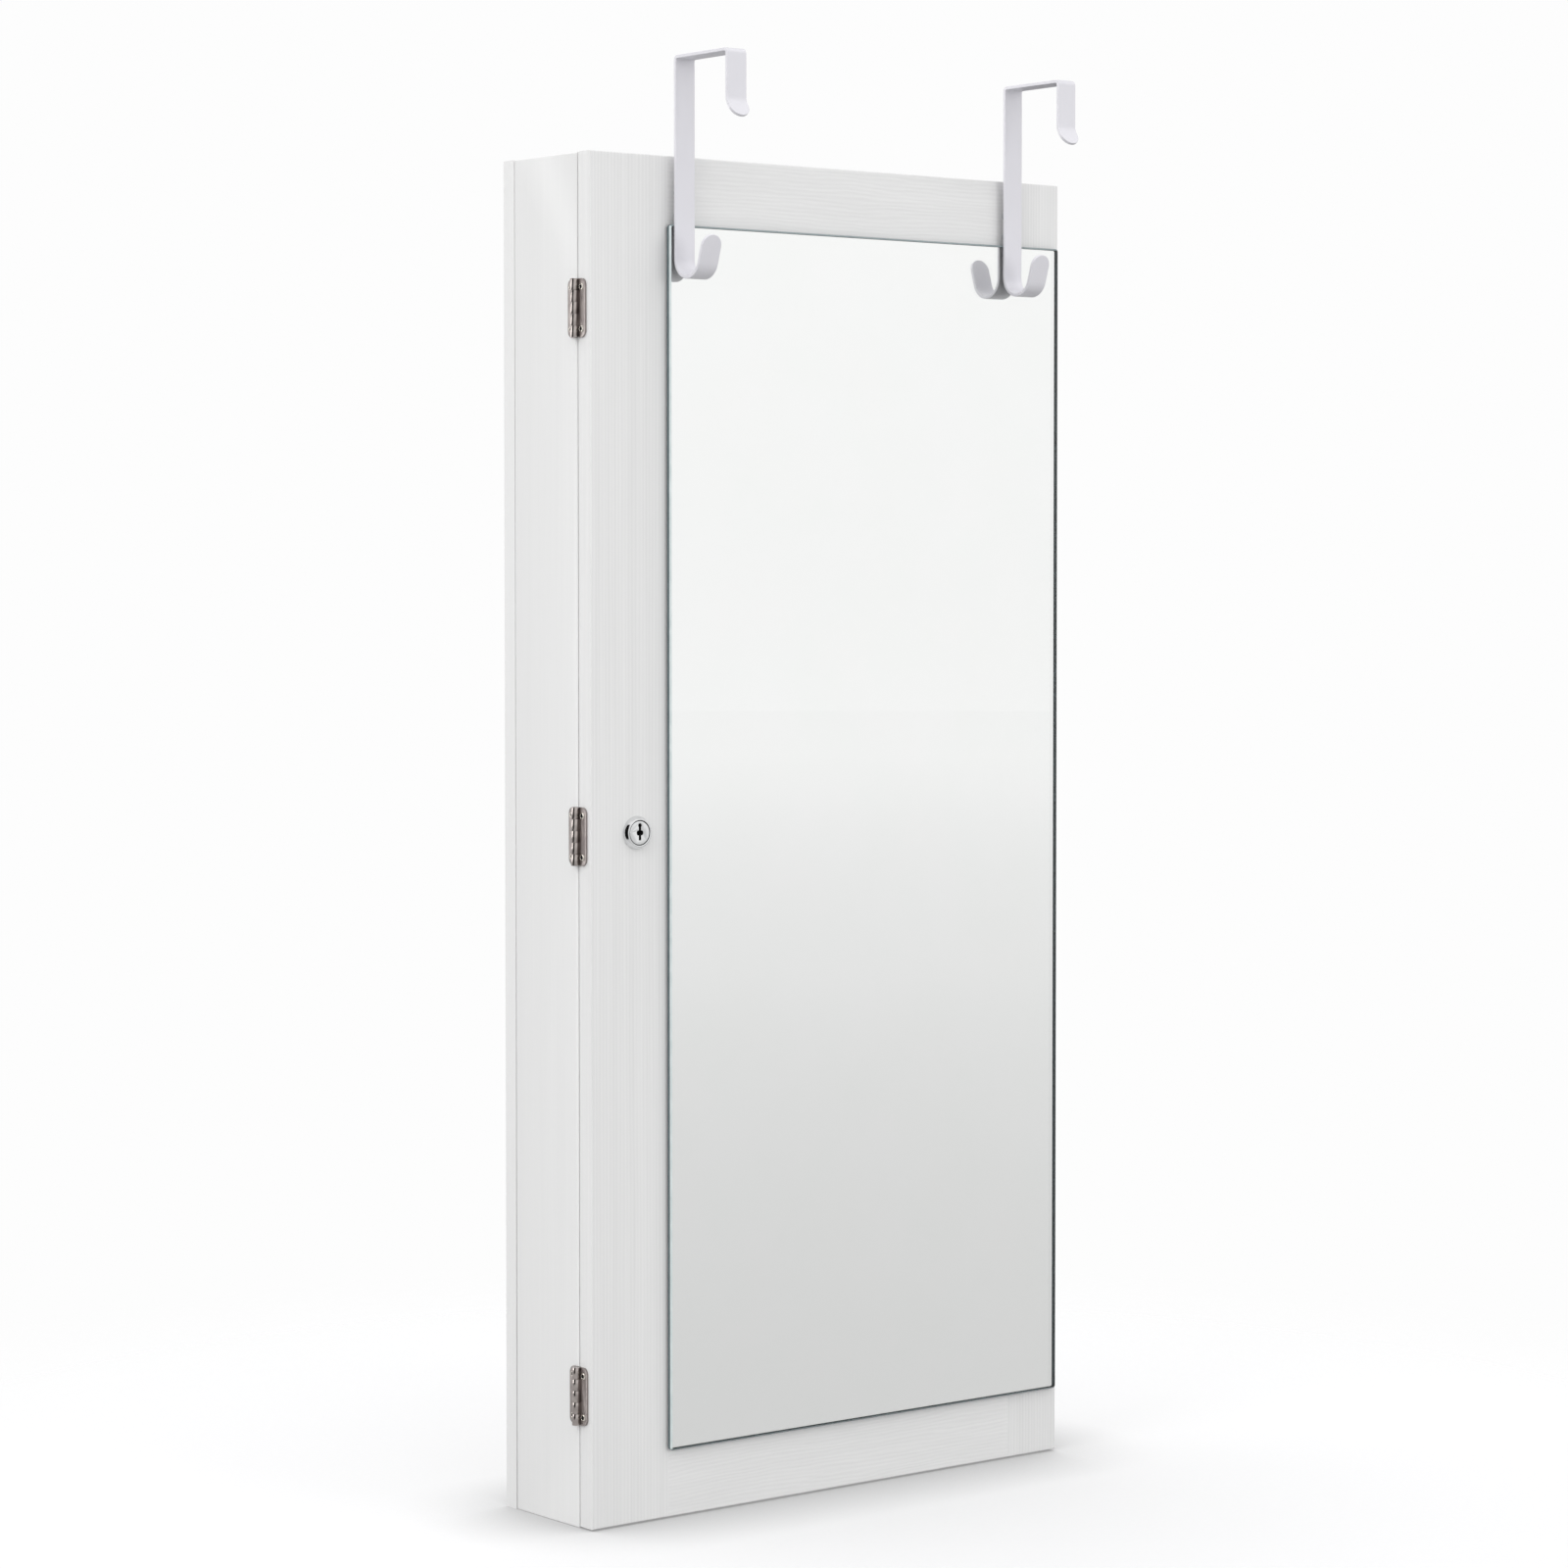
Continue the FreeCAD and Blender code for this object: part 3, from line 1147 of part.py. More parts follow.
def check_and_write():
    """Recomputes the document, refuses a failed or empty piece, and writes one file for each sub-part."""
    doc.recompute()
    failed = [item.Name for item in doc.Objects if {"Invalid", "Error"} & set(item.State)]
    if failed:
        raise RuntimeError(f"failed objects: {failed}")
    os.makedirs("parts", exist_ok=True)
    for item in nodes:
        shape = item.Shape
        if shape.isNull() or not shape.isValid() or not shape.Solids:
            raise RuntimeError(f"{item.Label} has no valid solid")
        shape.exportStep(os.path.join("parts", item.Label + ".step"))
    print(f"{len(nodes)} sub-parts written")


fill_sheet()
leaf_hole = screw_hole("leaf_screw_hole", "leaf")
wood_hole = screw_hole("wood_screw_hole", "wood")
make_box()
make_shelves()
make_necklace_rail()
make_earring_bars()
make_ring_tray()
make_bracelet_rods()
make_door_frame()
make_mirror()
make_hinges()
make_lock()
make_strike_and_catch()
make_hooks()
check_and_write()
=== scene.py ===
"""Dresses a slim white jewellery cabinet with a mirror door, and sets up the studio round it.

Lengths are metres in the cabinet's own frame. X runs along the front to the right, Y from the mirror to the
back board and Z up, and the origin is on the floor in the middle of the footprint.
"""

import json
import math

import bmesh
import bpy
from mathutils import Matrix, Vector

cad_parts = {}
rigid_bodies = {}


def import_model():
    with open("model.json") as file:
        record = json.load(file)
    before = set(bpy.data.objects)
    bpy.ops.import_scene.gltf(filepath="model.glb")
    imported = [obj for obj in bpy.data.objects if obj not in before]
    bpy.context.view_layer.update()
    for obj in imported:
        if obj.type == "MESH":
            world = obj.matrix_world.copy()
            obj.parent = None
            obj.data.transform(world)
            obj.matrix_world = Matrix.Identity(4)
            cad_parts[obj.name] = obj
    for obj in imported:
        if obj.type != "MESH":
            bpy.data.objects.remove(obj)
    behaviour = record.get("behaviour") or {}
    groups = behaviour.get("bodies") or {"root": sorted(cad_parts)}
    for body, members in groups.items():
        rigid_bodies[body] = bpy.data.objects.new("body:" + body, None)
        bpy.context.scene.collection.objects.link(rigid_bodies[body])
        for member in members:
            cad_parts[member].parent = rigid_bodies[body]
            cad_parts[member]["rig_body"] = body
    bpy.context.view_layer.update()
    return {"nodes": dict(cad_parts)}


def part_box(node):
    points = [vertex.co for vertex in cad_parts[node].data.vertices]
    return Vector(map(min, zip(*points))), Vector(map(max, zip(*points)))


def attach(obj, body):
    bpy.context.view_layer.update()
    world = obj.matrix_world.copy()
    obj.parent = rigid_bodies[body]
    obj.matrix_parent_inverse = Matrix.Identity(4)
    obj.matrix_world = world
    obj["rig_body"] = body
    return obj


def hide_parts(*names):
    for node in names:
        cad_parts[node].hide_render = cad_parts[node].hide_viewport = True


bl_info = {
    "name": "Jewellery mirror cabinet",
    "version": (1, 0, 0),
    "blender": (4, 5, 0),
    "location": "3D View > Sidebar > Cabinet",
    "description": "Paints a slim jewellery cabinet and builds its mirror, hooks, lock and pads",
    "category": "Object",
}

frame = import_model()
NODES = frame["nodes"]
MM = 0.001
SHARP = math.radians(35)  # where two faces turn more than this, their edge isn't shaded smooth
SQUARE = math.radians(60)  # where they turn more than this, their edge is a square corner


# ---- colours and nodes


def linear(code):
    """Turns an sRGB hex colour into the linear colour that Blender works in."""
    channels = [int(code[place:place + 2], 16) / 255 for place in (1, 3, 5)]
    curve = [c / 12.92 if c <= 0.04045 else ((c + 0.055) / 1.055) ** 2.4 for c in channels]
    return (*curve, 1.0)


def darker(colour, share):
    """Takes a share of the light out of a linear colour."""
    return (*(channel * (1 - share) for channel in colour[:3]), 1.0)


def add(tree, kind, sockets=None, **options):
    """Adds a node, sets its options, and gives its input sockets a value or another node's result."""
    node = tree.nodes.new(kind)
    for name, value in options.items():
        setattr(node, name, value)
    for key, value in (sockets or {}).items():
        named = isinstance(key, str)
        socket = next(s for s in node.inputs if s.enabled and s.name == key) if named else node.inputs[key]
        if isinstance(value, bpy.types.Node):
            value = next(output for output in value.outputs if output.enabled)
        if isinstance(value, bpy.types.NodeSocket):
            tree.links.new(value, socket)
        else:
            socket.default_value = value
    return node


def new_material(name):
    """Starts an empty material, and returns it with its nodes and its object coordinates."""
    material = bpy.data.materials.new(name)
    material.use_nodes = True
    tree = material.node_tree
    tree.nodes.clear()
    return material, tree, add(tree, "ShaderNodeTexCoord").outputs["Object"]


def surface(tree, sockets):
    """Ends a material with one surface shader."""
    shader = add(tree, "ShaderNodeBsdfPrincipled", sockets)
    add(tree, "ShaderNodeOutputMaterial", {"Surface": shader})


# ---- finishes

# Sizes in the lacquered wood: from ring to ring, of a fibre, of a band of fibres, and of a haze in the gloss.
RING, FIBRE, BAND, HAZE = 2.4 * MM, 1.5 * MM, 7 * MM, 35 * MM
WAVE_RATE = 20  # radians that the wave texture's phase turns in one unit of place, at a scale of 1
SCRATCH = 0.3 * MM
# How a metal's scratches are drawn out: not at all, upright on a leaf, and further yet on a rolled barrel.
EVEN, UPRIGHT, ROLLED = (1, 1, 1), (1, 1, 0.04), (1, 1, 0.02)


def lacquered_wood(name, along, contrast, relief, wander):
    """White lacquer brushed over wood: the grain shows as low ridges, a touch darker in the hollows.

    The grain runs along one axis. Its rings wander from straight, and fibres break them up.
    """
    material, tree, place = new_material(name)
    paint = tuple(settings().paint)
    level = along == "X"
    drawn = add(tree, "ShaderNodeMapping",
                {"Vector": place, "Scale": (0.22, 1, 1) if level else (1, 1, 0.04)})
    rings = add(
        tree, "ShaderNodeTexWave",
        {"Vector": drawn, "Scale": math.tau / (WAVE_RATE * RING), "Distortion": wander, "Detail": 3.0,
         "Detail Scale": 0.3, "Detail Roughness": 0.55},
        bands_direction="Z" if level else "X")
    fine = add(tree, "ShaderNodeMapping",
               {"Vector": place, "Scale": (0.05, 1, 1) if level else (1, 1, 0.012)})
    fibres = add(tree, "ShaderNodeTexNoise",
                 {"Vector": fine, "Scale": 1 / FIBRE, "Detail": 3.0, "Roughness": 0.7})
    bands = add(tree, "ShaderNodeTexNoise", {"Vector": fine, "Scale": 1 / BAND, "Detail": 3.0})
    woven = add(tree, "ShaderNodeMix", {"Factor": 0.75, "A": rings.outputs["Fac"], "B": fibres})
    ridges = add(tree, "ShaderNodeMix", {"Factor": 0.3, "A": woven, "B": bands})
    height = add(tree, "ShaderNodeMapRange", {"Value": ridges, "From Min": 0.3, "From Max": 0.7})
    tone = add(tree, "ShaderNodeMix", {"Factor": height, "A": darker(paint, contrast), "B": paint},
               data_type="RGBA")
    haze = add(tree, "ShaderNodeTexNoise", {"Vector": place, "Scale": 1 / HAZE, "Detail": 3.0})
    gloss = add(tree, "ShaderNodeMapRange", {"Value": haze, "To Min": 0.36, "To Max": 0.48})
    bump = add(tree, "ShaderNodeBump", {"Height": height, "Distance": relief})
    surface(tree, {"Base Color": tone, "Roughness": gloss, "Normal": bump, "IOR": 1.5})
    return material


def plated_steel(name, dark, light, cloud, rough, along, scratch):
    """Plated steel: two close tones cloud over it, and fine scratches draw out its highlights one way."""
    material, tree, place = new_material(name)
    clouds = add(tree, "ShaderNodeTexNoise", {"Vector": place, "Scale": 1 / cloud, "Detail": 4.0})
    spread = add(tree, "ShaderNodeMapRange", {"Value": clouds, "From Min": 0.3, "From Max": 0.7})
    tone = add(tree, "ShaderNodeMix", {"Factor": spread, "A": linear(dark), "B": linear(light)},
               data_type="RGBA")
    drawn = add(tree, "ShaderNodeMapping", {"Vector": place, "Scale": along})
    scratches = add(tree, "ShaderNodeTexNoise", {"Vector": drawn, "Scale": 1 / SCRATCH, "Detail": 2.0})
    smooth, dull = rough
    gloss = add(tree, "ShaderNodeMapRange",
                {"Value": scratches, "From Min": 0.3, "From Max": 0.7, "To Min": smooth, "To Max": dull})
    bump = add(tree, "ShaderNodeBump", {"Height": scratches, "Distance": 0.01 * MM, "Strength": scratch})
    surface(tree, {"Base Color": tone, "Metallic": 1.0, "Roughness": gloss, "Normal": bump})
    return material


def velvet(name, pile, depth):
    """Short-pile velvet: painted shade darkens it between its tufts and in soft stroked patches, with a pale
    bloom at the edges.
    """
    material, tree, place = new_material(name)
    colour = tuple(settings().velvet)
    tufts = add(tree, "ShaderNodeTexNoise", {"Vector": place, "Scale": 1 / pile, "Detail": 2.0})
    strokes = add(tree, "ShaderNodeTexNoise", {"Vector": place, "Scale": 1 / (18 * MM), "Detail": 2.0})
    both = add(tree, "ShaderNodeMix", {"Factor": 0.45, "A": tufts, "B": strokes})
    shade = add(tree, "ShaderNodeMapRange", {"Value": both, "From Min": 0.35, "From Max": 0.65})
    # painted shade: darker between the tufts and in the stroked patches
    tone = add(tree, "ShaderNodeMix", {"Factor": shade, "A": darker(colour, 0.3), "B": colour},
               data_type="RGBA")
    bump = add(tree, "ShaderNodeBump", {"Height": tufts, "Distance": depth, "Strength": 0.8})
    surface(tree, {"Base Color": tone, "Roughness": 0.95, "Normal": bump, "Specular IOR Level": 0.2,
                   "Sheen Weight": 0.5, "Sheen Roughness": 0.4, "Sheen Tint": linear("#D8D4D0")})
    return material


def moulded(name, dark, light, pebble, rough):
    """Moulded or cast stock: an even tone, with the fine pebble that its mould leaves."""
    material, tree, place = new_material(name)
    grit = add(tree, "ShaderNodeTexNoise", {"Vector": place, "Scale": 1 / pebble, "Detail": 3.0})
    tone = add(tree, "ShaderNodeMix", {"Factor": grit, "A": linear(dark), "B": linear(light)},
               data_type="RGBA")
    bump = add(tree, "ShaderNodeBump", {"Height": grit, "Distance": 0.05 * MM, "Strength": 0.5})
    surface(tree, {"Base Color": tone, "Roughness": rough, "Normal": bump, "IOR": 1.48})
    return material


def turned_beech():
    """Turned beech: warm, with short dark flecks along the dowel."""
    material, tree, place = new_material("turned_beech")
    drawn = add(tree, "ShaderNodeMapping", {"Vector": place, "Scale": (0.15, 1, 1)})
    flecks = add(tree, "ShaderNodeTexNoise", {"Vector": drawn, "Scale": 1 / (0.8 * MM), "Detail": 3.0})
    shade = add(tree, "ShaderNodeMapRange", {"Value": flecks, "From Min": 0.35, "From Max": 0.6})
    tone = add(tree, "ShaderNodeMix", {"Factor": shade, "A": linear("#9C7046"), "B": linear("#CFA879")},
               data_type="RGBA")
    bump = add(tree, "ShaderNodeBump", {"Height": flecks, "Distance": 0.05 * MM})
    surface(tree, {"Base Color": tone, "Roughness": 0.7, "Normal": bump})
    return material


def powder_coat():
    """Powder coat on steel: pale and satin, with the slight orange peel of baked paint."""
    material, tree, place = new_material("powder_coated_steel")
    colour = tuple(settings().strap_paint)
    peel = add(tree, "ShaderNodeTexNoise", {"Vector": place, "Scale": 1 / (0.9 * MM), "Detail": 2.0})
    drift = add(tree, "ShaderNodeTexNoise", {"Vector": place, "Scale": 1 / (25 * MM), "Detail": 2.0})
    tone = add(tree, "ShaderNodeMix", {"Factor": drift, "A": darker(colour, 0.05), "B": colour},
               data_type="RGBA")
    gloss = add(tree, "ShaderNodeMapRange",
                {"Value": peel, "From Min": 0.3, "From Max": 0.7, "To Min": 0.28, "To Max": 0.4})
    bump = add(tree, "ShaderNodeBump", {"Height": peel, "Distance": 0.02 * MM, "Strength": 0.6})
    surface(tree, {"Base Color": tone, "Roughness": gloss, "Normal": bump, "IOR": 1.5})
    return material


def clear_glass():
    """Float glass over the silver: clear, with a breath of green where it is seen through twice."""
    material, tree, place = new_material("clear_float_glass")
    dust = add(tree, "ShaderNodeTexNoise", {"Vector": place, "Scale": 1 / (40 * MM), "Detail": 4.0})
    tint = add(tree, "ShaderNodeMix", {"Factor": dust, "A": linear("#FCFEFD"), "B": linear("#FFFFFF")},
               data_type="RGBA")
    surface(tree, {"Base Color": tint, "Roughness": 0.0, "IOR": 1.52, "Transmission Weight": 1.0})
    return material


def silvering():
    """The silver behind the glass: a clean mirror, a breath darker in places where the coat is thinner."""
    material, tree, place = new_material("silver_coat")
    coat = add(tree, "ShaderNodeTexNoise", {"Vector": place, "Scale": 1 / (60 * MM), "Detail": 3.0})
    tone = add(tree, "ShaderNodeMix", {"Factor": coat, "A": linear("#FBFBFA"), "B": linear("#FDFDFD")},
               data_type="RGBA")
    surface(tree, {"Base Color": tone, "Metallic": 1.0, "Roughness": 0.0})
    return material


def cut_glass(name, dark, light, rough, coat):
    """The cut rim of the glass, grey-green as light that has crossed the whole sheet leaves it; its copies
    paint light on the rim: a highlight on the left arris, shade on the top arris and a dark reflection on the
    cut sides and the other arris faces.
    """
    material, tree, place = new_material(name)
    depth = add(tree, "ShaderNodeTexNoise", {"Vector": place, "Scale": 1 / (9 * MM), "Detail": 3.0})
    tone = add(tree, "ShaderNodeMix", {"Factor": depth, "A": linear(dark), "B": linear(light)},
               data_type="RGBA")
    bump = add(tree, "ShaderNodeBump", {"Height": depth, "Distance": 0.02 * MM, "Strength": 0.4})
    surface(tree, {"Base Color": tone, "Roughness": rough, "Normal": bump, "IOR": 1.52,
                   "Coat Weight": coat, "Coat Roughness": 0.08})
    return material


FINISHES = {}


def finish(name):
    """Looks a material up, and makes all of them the first time."""
    if not FINISHES:
        FINISHES.update(
            upright=lacquered_wood("white_lacquer_upright_grain", "Z", 0.09, 0.04 * MM, 5),
            level=lacquered_wood("white_lacquer_level_grain", "X", 0.075, 0.04 * MM, 14),
            board=lacquered_wood("white_lacquer_smooth_board", "Z", 0.035, 0.012 * MM, 4),
            shelf=lacquered_wood("white_lacquer_smooth_shelf", "X", 0.035, 0.012 * MM, 8),
            beech=turned_beech(),
            lining=velvet("flocked_lining", 1.2 * MM, 0.2 * MM),
            velvet=velvet("velvet_on_foam", 0.9 * MM, 0.3 * MM),
            hinge=plated_steel("antique_nickel", "#958D8B", "#A79F9C", 6 * MM, (0.38, 0.5), UPRIGHT, 0.4),
            barrel=plated_steel("worn_nickel_barrel", "#A39B98", "#BAB2AE", 5 * MM, (0.1, 0.14), ROLLED,
                                0.04),
            bright=plated_steel("bright_nickel", "#DCD6CC", "#EFEAE1", 3 * MM, (0.1, 0.2), EVEN, 0.3),
            zinc=plated_steel("zinc_plate", "#A9ADB0", "#C3C6C9", 2.5 * MM, (0.3, 0.5), EVEN, 0.3),
            satin=plated_steel("satin_nickel", "#C2BCB3", "#CBC5BC", 12 * MM, (0.22, 0.28), EVEN, 0.03),
            chrome=plated_steel("bright_chrome", "#DCDDDE", "#ECEDED", 10 * MM, (0.04, 0.09), EVEN, 0.1),
            # painted shade: near black, laid where the lock's groove and keyhole and the screws' drives fall
            # in shade
            recess=moulded("blackened_recess", "#0B0B0C", "#1A1A1B", 0.4 * MM, 0.8),
            straps=powder_coat(),
            glass=clear_glass(),
            silver=silvering(),
            # Painted light on the glass's rim, by the way each face looks: a painted dark reflection on the
            # cut sides and on the right and bottom arris, a painted highlight on the left arris, and painted
            # shade on the top arris.
            edge=cut_glass("glass_edge_painted_dark_reflection", "#46565A", "#64757A", 0.25, 0.6),
            arris=cut_glass("glass_arris_painted_highlight", "#B9C8C8", "#E6EDEC", 0.3, 0.8),
            shaded=cut_glass("glass_arris_painted_shade", "#7F8B8D", "#98A4A5", 0.3, 0.4),
            backing=moulded("mirror_back_lacquer", "#6B6E70", "#7C8082", 1.2 * MM, 0.6),
            foam=moulded("foam_tape", "#2E3032", "#45484A", 0.8 * MM, 0.9),
            plastic=moulded("moulded_white_plastic", "#DEDEDB", "#E9E9E6", 0.6 * MM, 0.45),
            ferrite=moulded("sintered_ferrite", "#202124", "#37383C", 0.5 * MM, 0.55),
        )
    return FINISHES[name]


# ---- settings


class CabinetSettings(bpy.types.PropertyGroup):
    """Colours and sizes that a user may change before the pieces are made."""

    paint: bpy.props.FloatVectorProperty(
        name="Paint", description="Lacquer on the boards", subtype="COLOR", size=4, min=0, max=1,
        default=linear("#E9E9E8"))
    strap_paint: bpy.props.FloatVectorProperty(
        name="Strap paint", description="Powder coat on the hooks", subtype="COLOR", size=4, min=0, max=1,
        default=linear("#E0DFE4"))
    velvet: bpy.props.FloatVectorProperty(
        name="Velvet", description="Lining and pads", subtype="COLOR", size=4, min=0, max=1,
        default=linear("#8F8A86"))
    board_edge: bpy.props.FloatProperty(
        name="Board edge", description="Rounding of the boards' long edges", unit="LENGTH",
        min=0.0001, max=0.002, default=0.25 * MM)
    outer_edge: bpy.props.FloatProperty(
        name="Outer edge", description="Rounding of the cabinet's own corners", unit="LENGTH",
        min=0.0001, max=0.003, default=0.9 * MM)
    metal_edge: bpy.props.FloatProperty(
        name="Metal edge", description="Rounding of the small fittings' edges", unit="LENGTH",
        min=0.00002, max=0.0005, default=0.15 * MM)
    arris: bpy.props.FloatProperty(
        name="Arris", description="Width of the ground slope round the mirror", unit="LENGTH",
        min=0.0002, max=0.0025, default=1.0 * MM)
    mirror_corner: bpy.props.FloatProperty(
        name="Mirror corner", description="Radius of the mirror's corners", unit="LENGTH",
        min=0.0005, max=0.02, default=2.0 * MM)
    strap_thick: bpy.props.FloatProperty(
        name="Strap thickness", description="Thickness of the hooks' flat steel", unit="LENGTH",
        min=0.001, max=0.004, default=2.0 * MM)
    strap_edge: bpy.props.FloatProperty(
        name="Strap edge", description="Rounding of the hooks' long edges", unit="LENGTH",
        min=0.0001, max=0.0009, default=0.4 * MM)
    cradle_radius: bpy.props.FloatProperty(
        name="Cradle", description="Inner radius of the hook's cradle", unit="LENGTH",
        min=0.004, max=0.02, default=10.5 * MM)
    tip_length: bpy.props.FloatProperty(
        name="Tip length", description="Straight part of the cradle's tip", unit="LENGTH",
        min=0.005, max=0.04, default=16.6 * MM)
    tip_lean: bpy.props.FloatProperty(
        name="Tip lean", description="How far the cradle's tip leans out", subtype="ANGLE",
        min=0.0, max=0.8, default=math.radians(17))
    strap_corner: bpy.props.FloatProperty(
        name="Strap corner", description="Inner radius of the two square bends", unit="LENGTH",
        min=0.0003, max=0.006, default=1.0 * MM)
    short_leg: bpy.props.FloatProperty(
        name="Short leg", description="Height of the hook's short leg down to its flare", unit="LENGTH",
        min=0.01, max=0.06, default=28 * MM)
    flare_radius: bpy.props.FloatProperty(
        name="Flare radius", description="Inner radius of the short leg's flare", unit="LENGTH",
        min=0.002, max=0.02, default=6 * MM)
    flare_length: bpy.props.FloatProperty(
        name="Flare length", description="Straight part of the short leg's flare", unit="LENGTH",
        min=0.002, max=0.02, default=9 * MM)
    flare_lean: bpy.props.FloatProperty(
        name="Flare lean", description="How far the short leg's end flares out", subtype="ANGLE",
        min=0.0, max=1.4, default=math.radians(32))
    pad_swell: bpy.props.FloatProperty(
        name="Pad swell", description="How far the earring pad's velvet swells over its foam", unit="LENGTH",
        min=0.0, max=0.006, default=2.5 * MM)
    roll_swell: bpy.props.FloatProperty(
        name="Roll swell", description="How far a ring roll's velvet swells over its foam", unit="LENGTH",
        min=0.0, max=0.002, default=0.5 * MM)


def settings():
    """The values that a user can change."""
    return bpy.context.scene.cabinet_settings


# ---- making pieces


def dress(kind, *nodes):
    """Gives CAD nodes a finish."""
    for name in nodes:
        NODES[name].data.materials.clear()
        NODES[name].data.materials.append(finish(kind))


def new_piece(name, bm, body, kinds, replaced=()):
    """Turns a bmesh into a finished piece that rides on a body and stands for CAD nodes."""
    mesh = bpy.data.meshes.new(name)
    for face in bm.faces:
        face.smooth = True
    bm.to_mesh(mesh)
    bm.free()
    piece = bpy.data.objects.new(name, mesh)
    bpy.context.scene.collection.objects.link(piece)
    for kind in kinds:
        mesh.materials.append(finish(kind))
    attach(piece, body)
    if replaced:
        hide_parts(*replaced)
    return piece


def merged_copy(node):
    """Copies a CAD node's mesh, with its doubled corners merged and its flat faces made whole."""
    bm = bmesh.new()
    bm.from_mesh(NODES[node].data)
    bmesh.ops.remove_doubles(bm, verts=bm.verts, dist=0.002 * MM)
    bmesh.ops.dissolve_limit(bm, angle_limit=math.radians(0.5), verts=bm.verts, edges=bm.edges)
    for face in bm.faces:
        face.material_index = 0
    return bm


def bevel(bm, geom, offset, segments, affect="EDGES"):
    """Cuts or rounds edges, or corners, of a bmesh."""
    bmesh.ops.bevel(bm, geom=geom, offset=offset, affect=affect, segments=segments, profile=0.5, material=-1)


def corners_of(made):
    """Picks the corners out of what a bmesh operator made."""
    return [item for item in made if isinstance(item, bmesh.types.BMVert)]


def close_up(bm):
    """Joins the seam of what was spun round an axis, and turns its faces outward."""
    bmesh.ops.remove_doubles(bm, verts=bm.verts, dist=0.001 * MM)
    bmesh.ops.recalc_face_normals(bm, faces=bm.faces)


def soften(piece, width, segments=2, method="ANGLE"):
    """Rounds a piece's sharp edges and keeps its flat faces flat."""
    rounding = piece.modifiers.new("rounded_edges", "BEVEL")
    rounding.width = width
    rounding.segments = segments
    rounding.limit_method = method
    rounding.angle_limit = SHARP
    rounding.harden_normals = True
    rounding.use_clamp_overlap = True


def body_of(node):
    """The body that a CAD node rides on."""
    return NODES[node]["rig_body"]


def fitting(node, kind, width=None):
    """Makes a small fitting with its edges rounded."""
    piece = new_piece(f"{node}_part", merged_copy(node), body_of(node), [kind], [node])
    soften(piece, width or settings().metal_edge)
    return piece


# ---- boards

BOARDS = {
    "upright": ("door_left_stile", "door_right_stile"),
    "level": ("door_top_rail", "door_bottom_rail"),
    "board": ("left_side_panel", "right_side_panel", "back_board"),
    "shelf": ("top_panel", "bottom_panel", "upper_shelf", "middle_shelf", "lower_shelf", "upper_shelf_lip",
              "middle_shelf_lip", "lower_shelf_lip", "bottom_lip", "necklace_rail", "rod_cheeks"),
}
LONG_EDGE = 12 * MM  # shorter edges of a board, such as those of its holes, stay sharp


def on_outline(place):
    """True for a place on one of the edges that outline the closed cabinet."""
    low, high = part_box("door_left_stile")[0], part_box("back_board")[1]
    near = [min(abs(place.x - low.x), abs(place.x - high.x)) < MM,
            min(abs(place.y - low.y), abs(place.y - high.y)) < MM,
            abs(place.z - high.z) < MM]
    return sum(near) >= 2


def painted_board(node, kind):
    """Makes a board with its long edges rounded, and more so at the cabinet's own corners."""
    made = settings()
    bm = merged_copy(node)
    weights = bm.edges.layers.float.new("bevel_weight_edge")
    for edge in bm.edges:
        angle = edge.calc_face_angle_signed(0)
        edge.smooth = abs(angle) < SHARP
        if angle > SQUARE and edge.calc_length() > LONG_EDGE:
            middle = (edge.verts[0].co + edge.verts[1].co) / 2
            edge[weights] = 1.0 if on_outline(middle) else made.board_edge / made.outer_edge
    piece = new_piece(f"{node}_board", bm, body_of(node), [kind], [node])
    soften(piece, made.outer_edge, 3, "WEIGHT")
    return piece


class CABINET_OT_boards(bpy.types.Operator):
    """Paint the cabinet's and the door's boards, each with its grain along its length"""

    bl_idname = "cabinet.boards"
    bl_label = "Painted boards"

    def execute(self, context):
        for kind, nodes in BOARDS.items():
            for node in nodes:
                painted_board(node, kind)
        dress("upright", "door_panel")
        dress("shelf", "upper_earring_bar", "lower_earring_bar", "ring_tray")
        dress("beech", "carcass_dowels", "door_dowels")
        dress("lining", "back_lining", "door_lining")
        return {"FINISHED"}


# ---- mirror

# The finishes of the glass's faces; of these, arris, edge and shaded paint a highlight, a dark reflection and
# shade on the rim.
GLASS_FINISHES = ["glass", "arris", "edge", "backing", "shaded"]
GLASS_SMOOTH = math.radians(25)  # the glass shades smooth round its corners, but not over its arris
SILVER_DEPTH = 0.1 * MM  # from the back of the glass


def flat_sheet(low, high, depth):
    """Makes one upright face with rounded corners that looks to the front."""
    bm = bmesh.new()
    bmesh.ops.create_grid(bm, x_segments=1, y_segments=1, size=0.5)
    middle = Vector(((low.x + high.x) / 2, depth, (low.z + high.z) / 2))
    size = Matrix.Diagonal((high.x - low.x, 1, high.z - low.z, 1))
    stand = Matrix.Translation(middle) @ size @ Matrix.Rotation(math.pi / 2, 4, "X")
    bmesh.ops.transform(bm, matrix=stand, verts=bm.verts)
    bevel(bm, bm.verts[:], settings().mirror_corner, 8, "VERTICES")
    return bm


def glass_finish(way):
    """Names the finish of a face of the glass by the way that the face looks."""
    sloped = way.y < -0.3
    if way.y < -0.99:
        return "glass"
    if way.y > 0.9:
        return "backing"
    # The rim's finish is picked by the way it faces: painted shade on the top arris, a painted highlight on
    # the left arris, and a painted dark reflection on the rest of the rim.
    if sloped and way.z > 0.5:
        return "shaded"
    if sloped and way.x < -0.5:
        return "arris"
    return "edge"


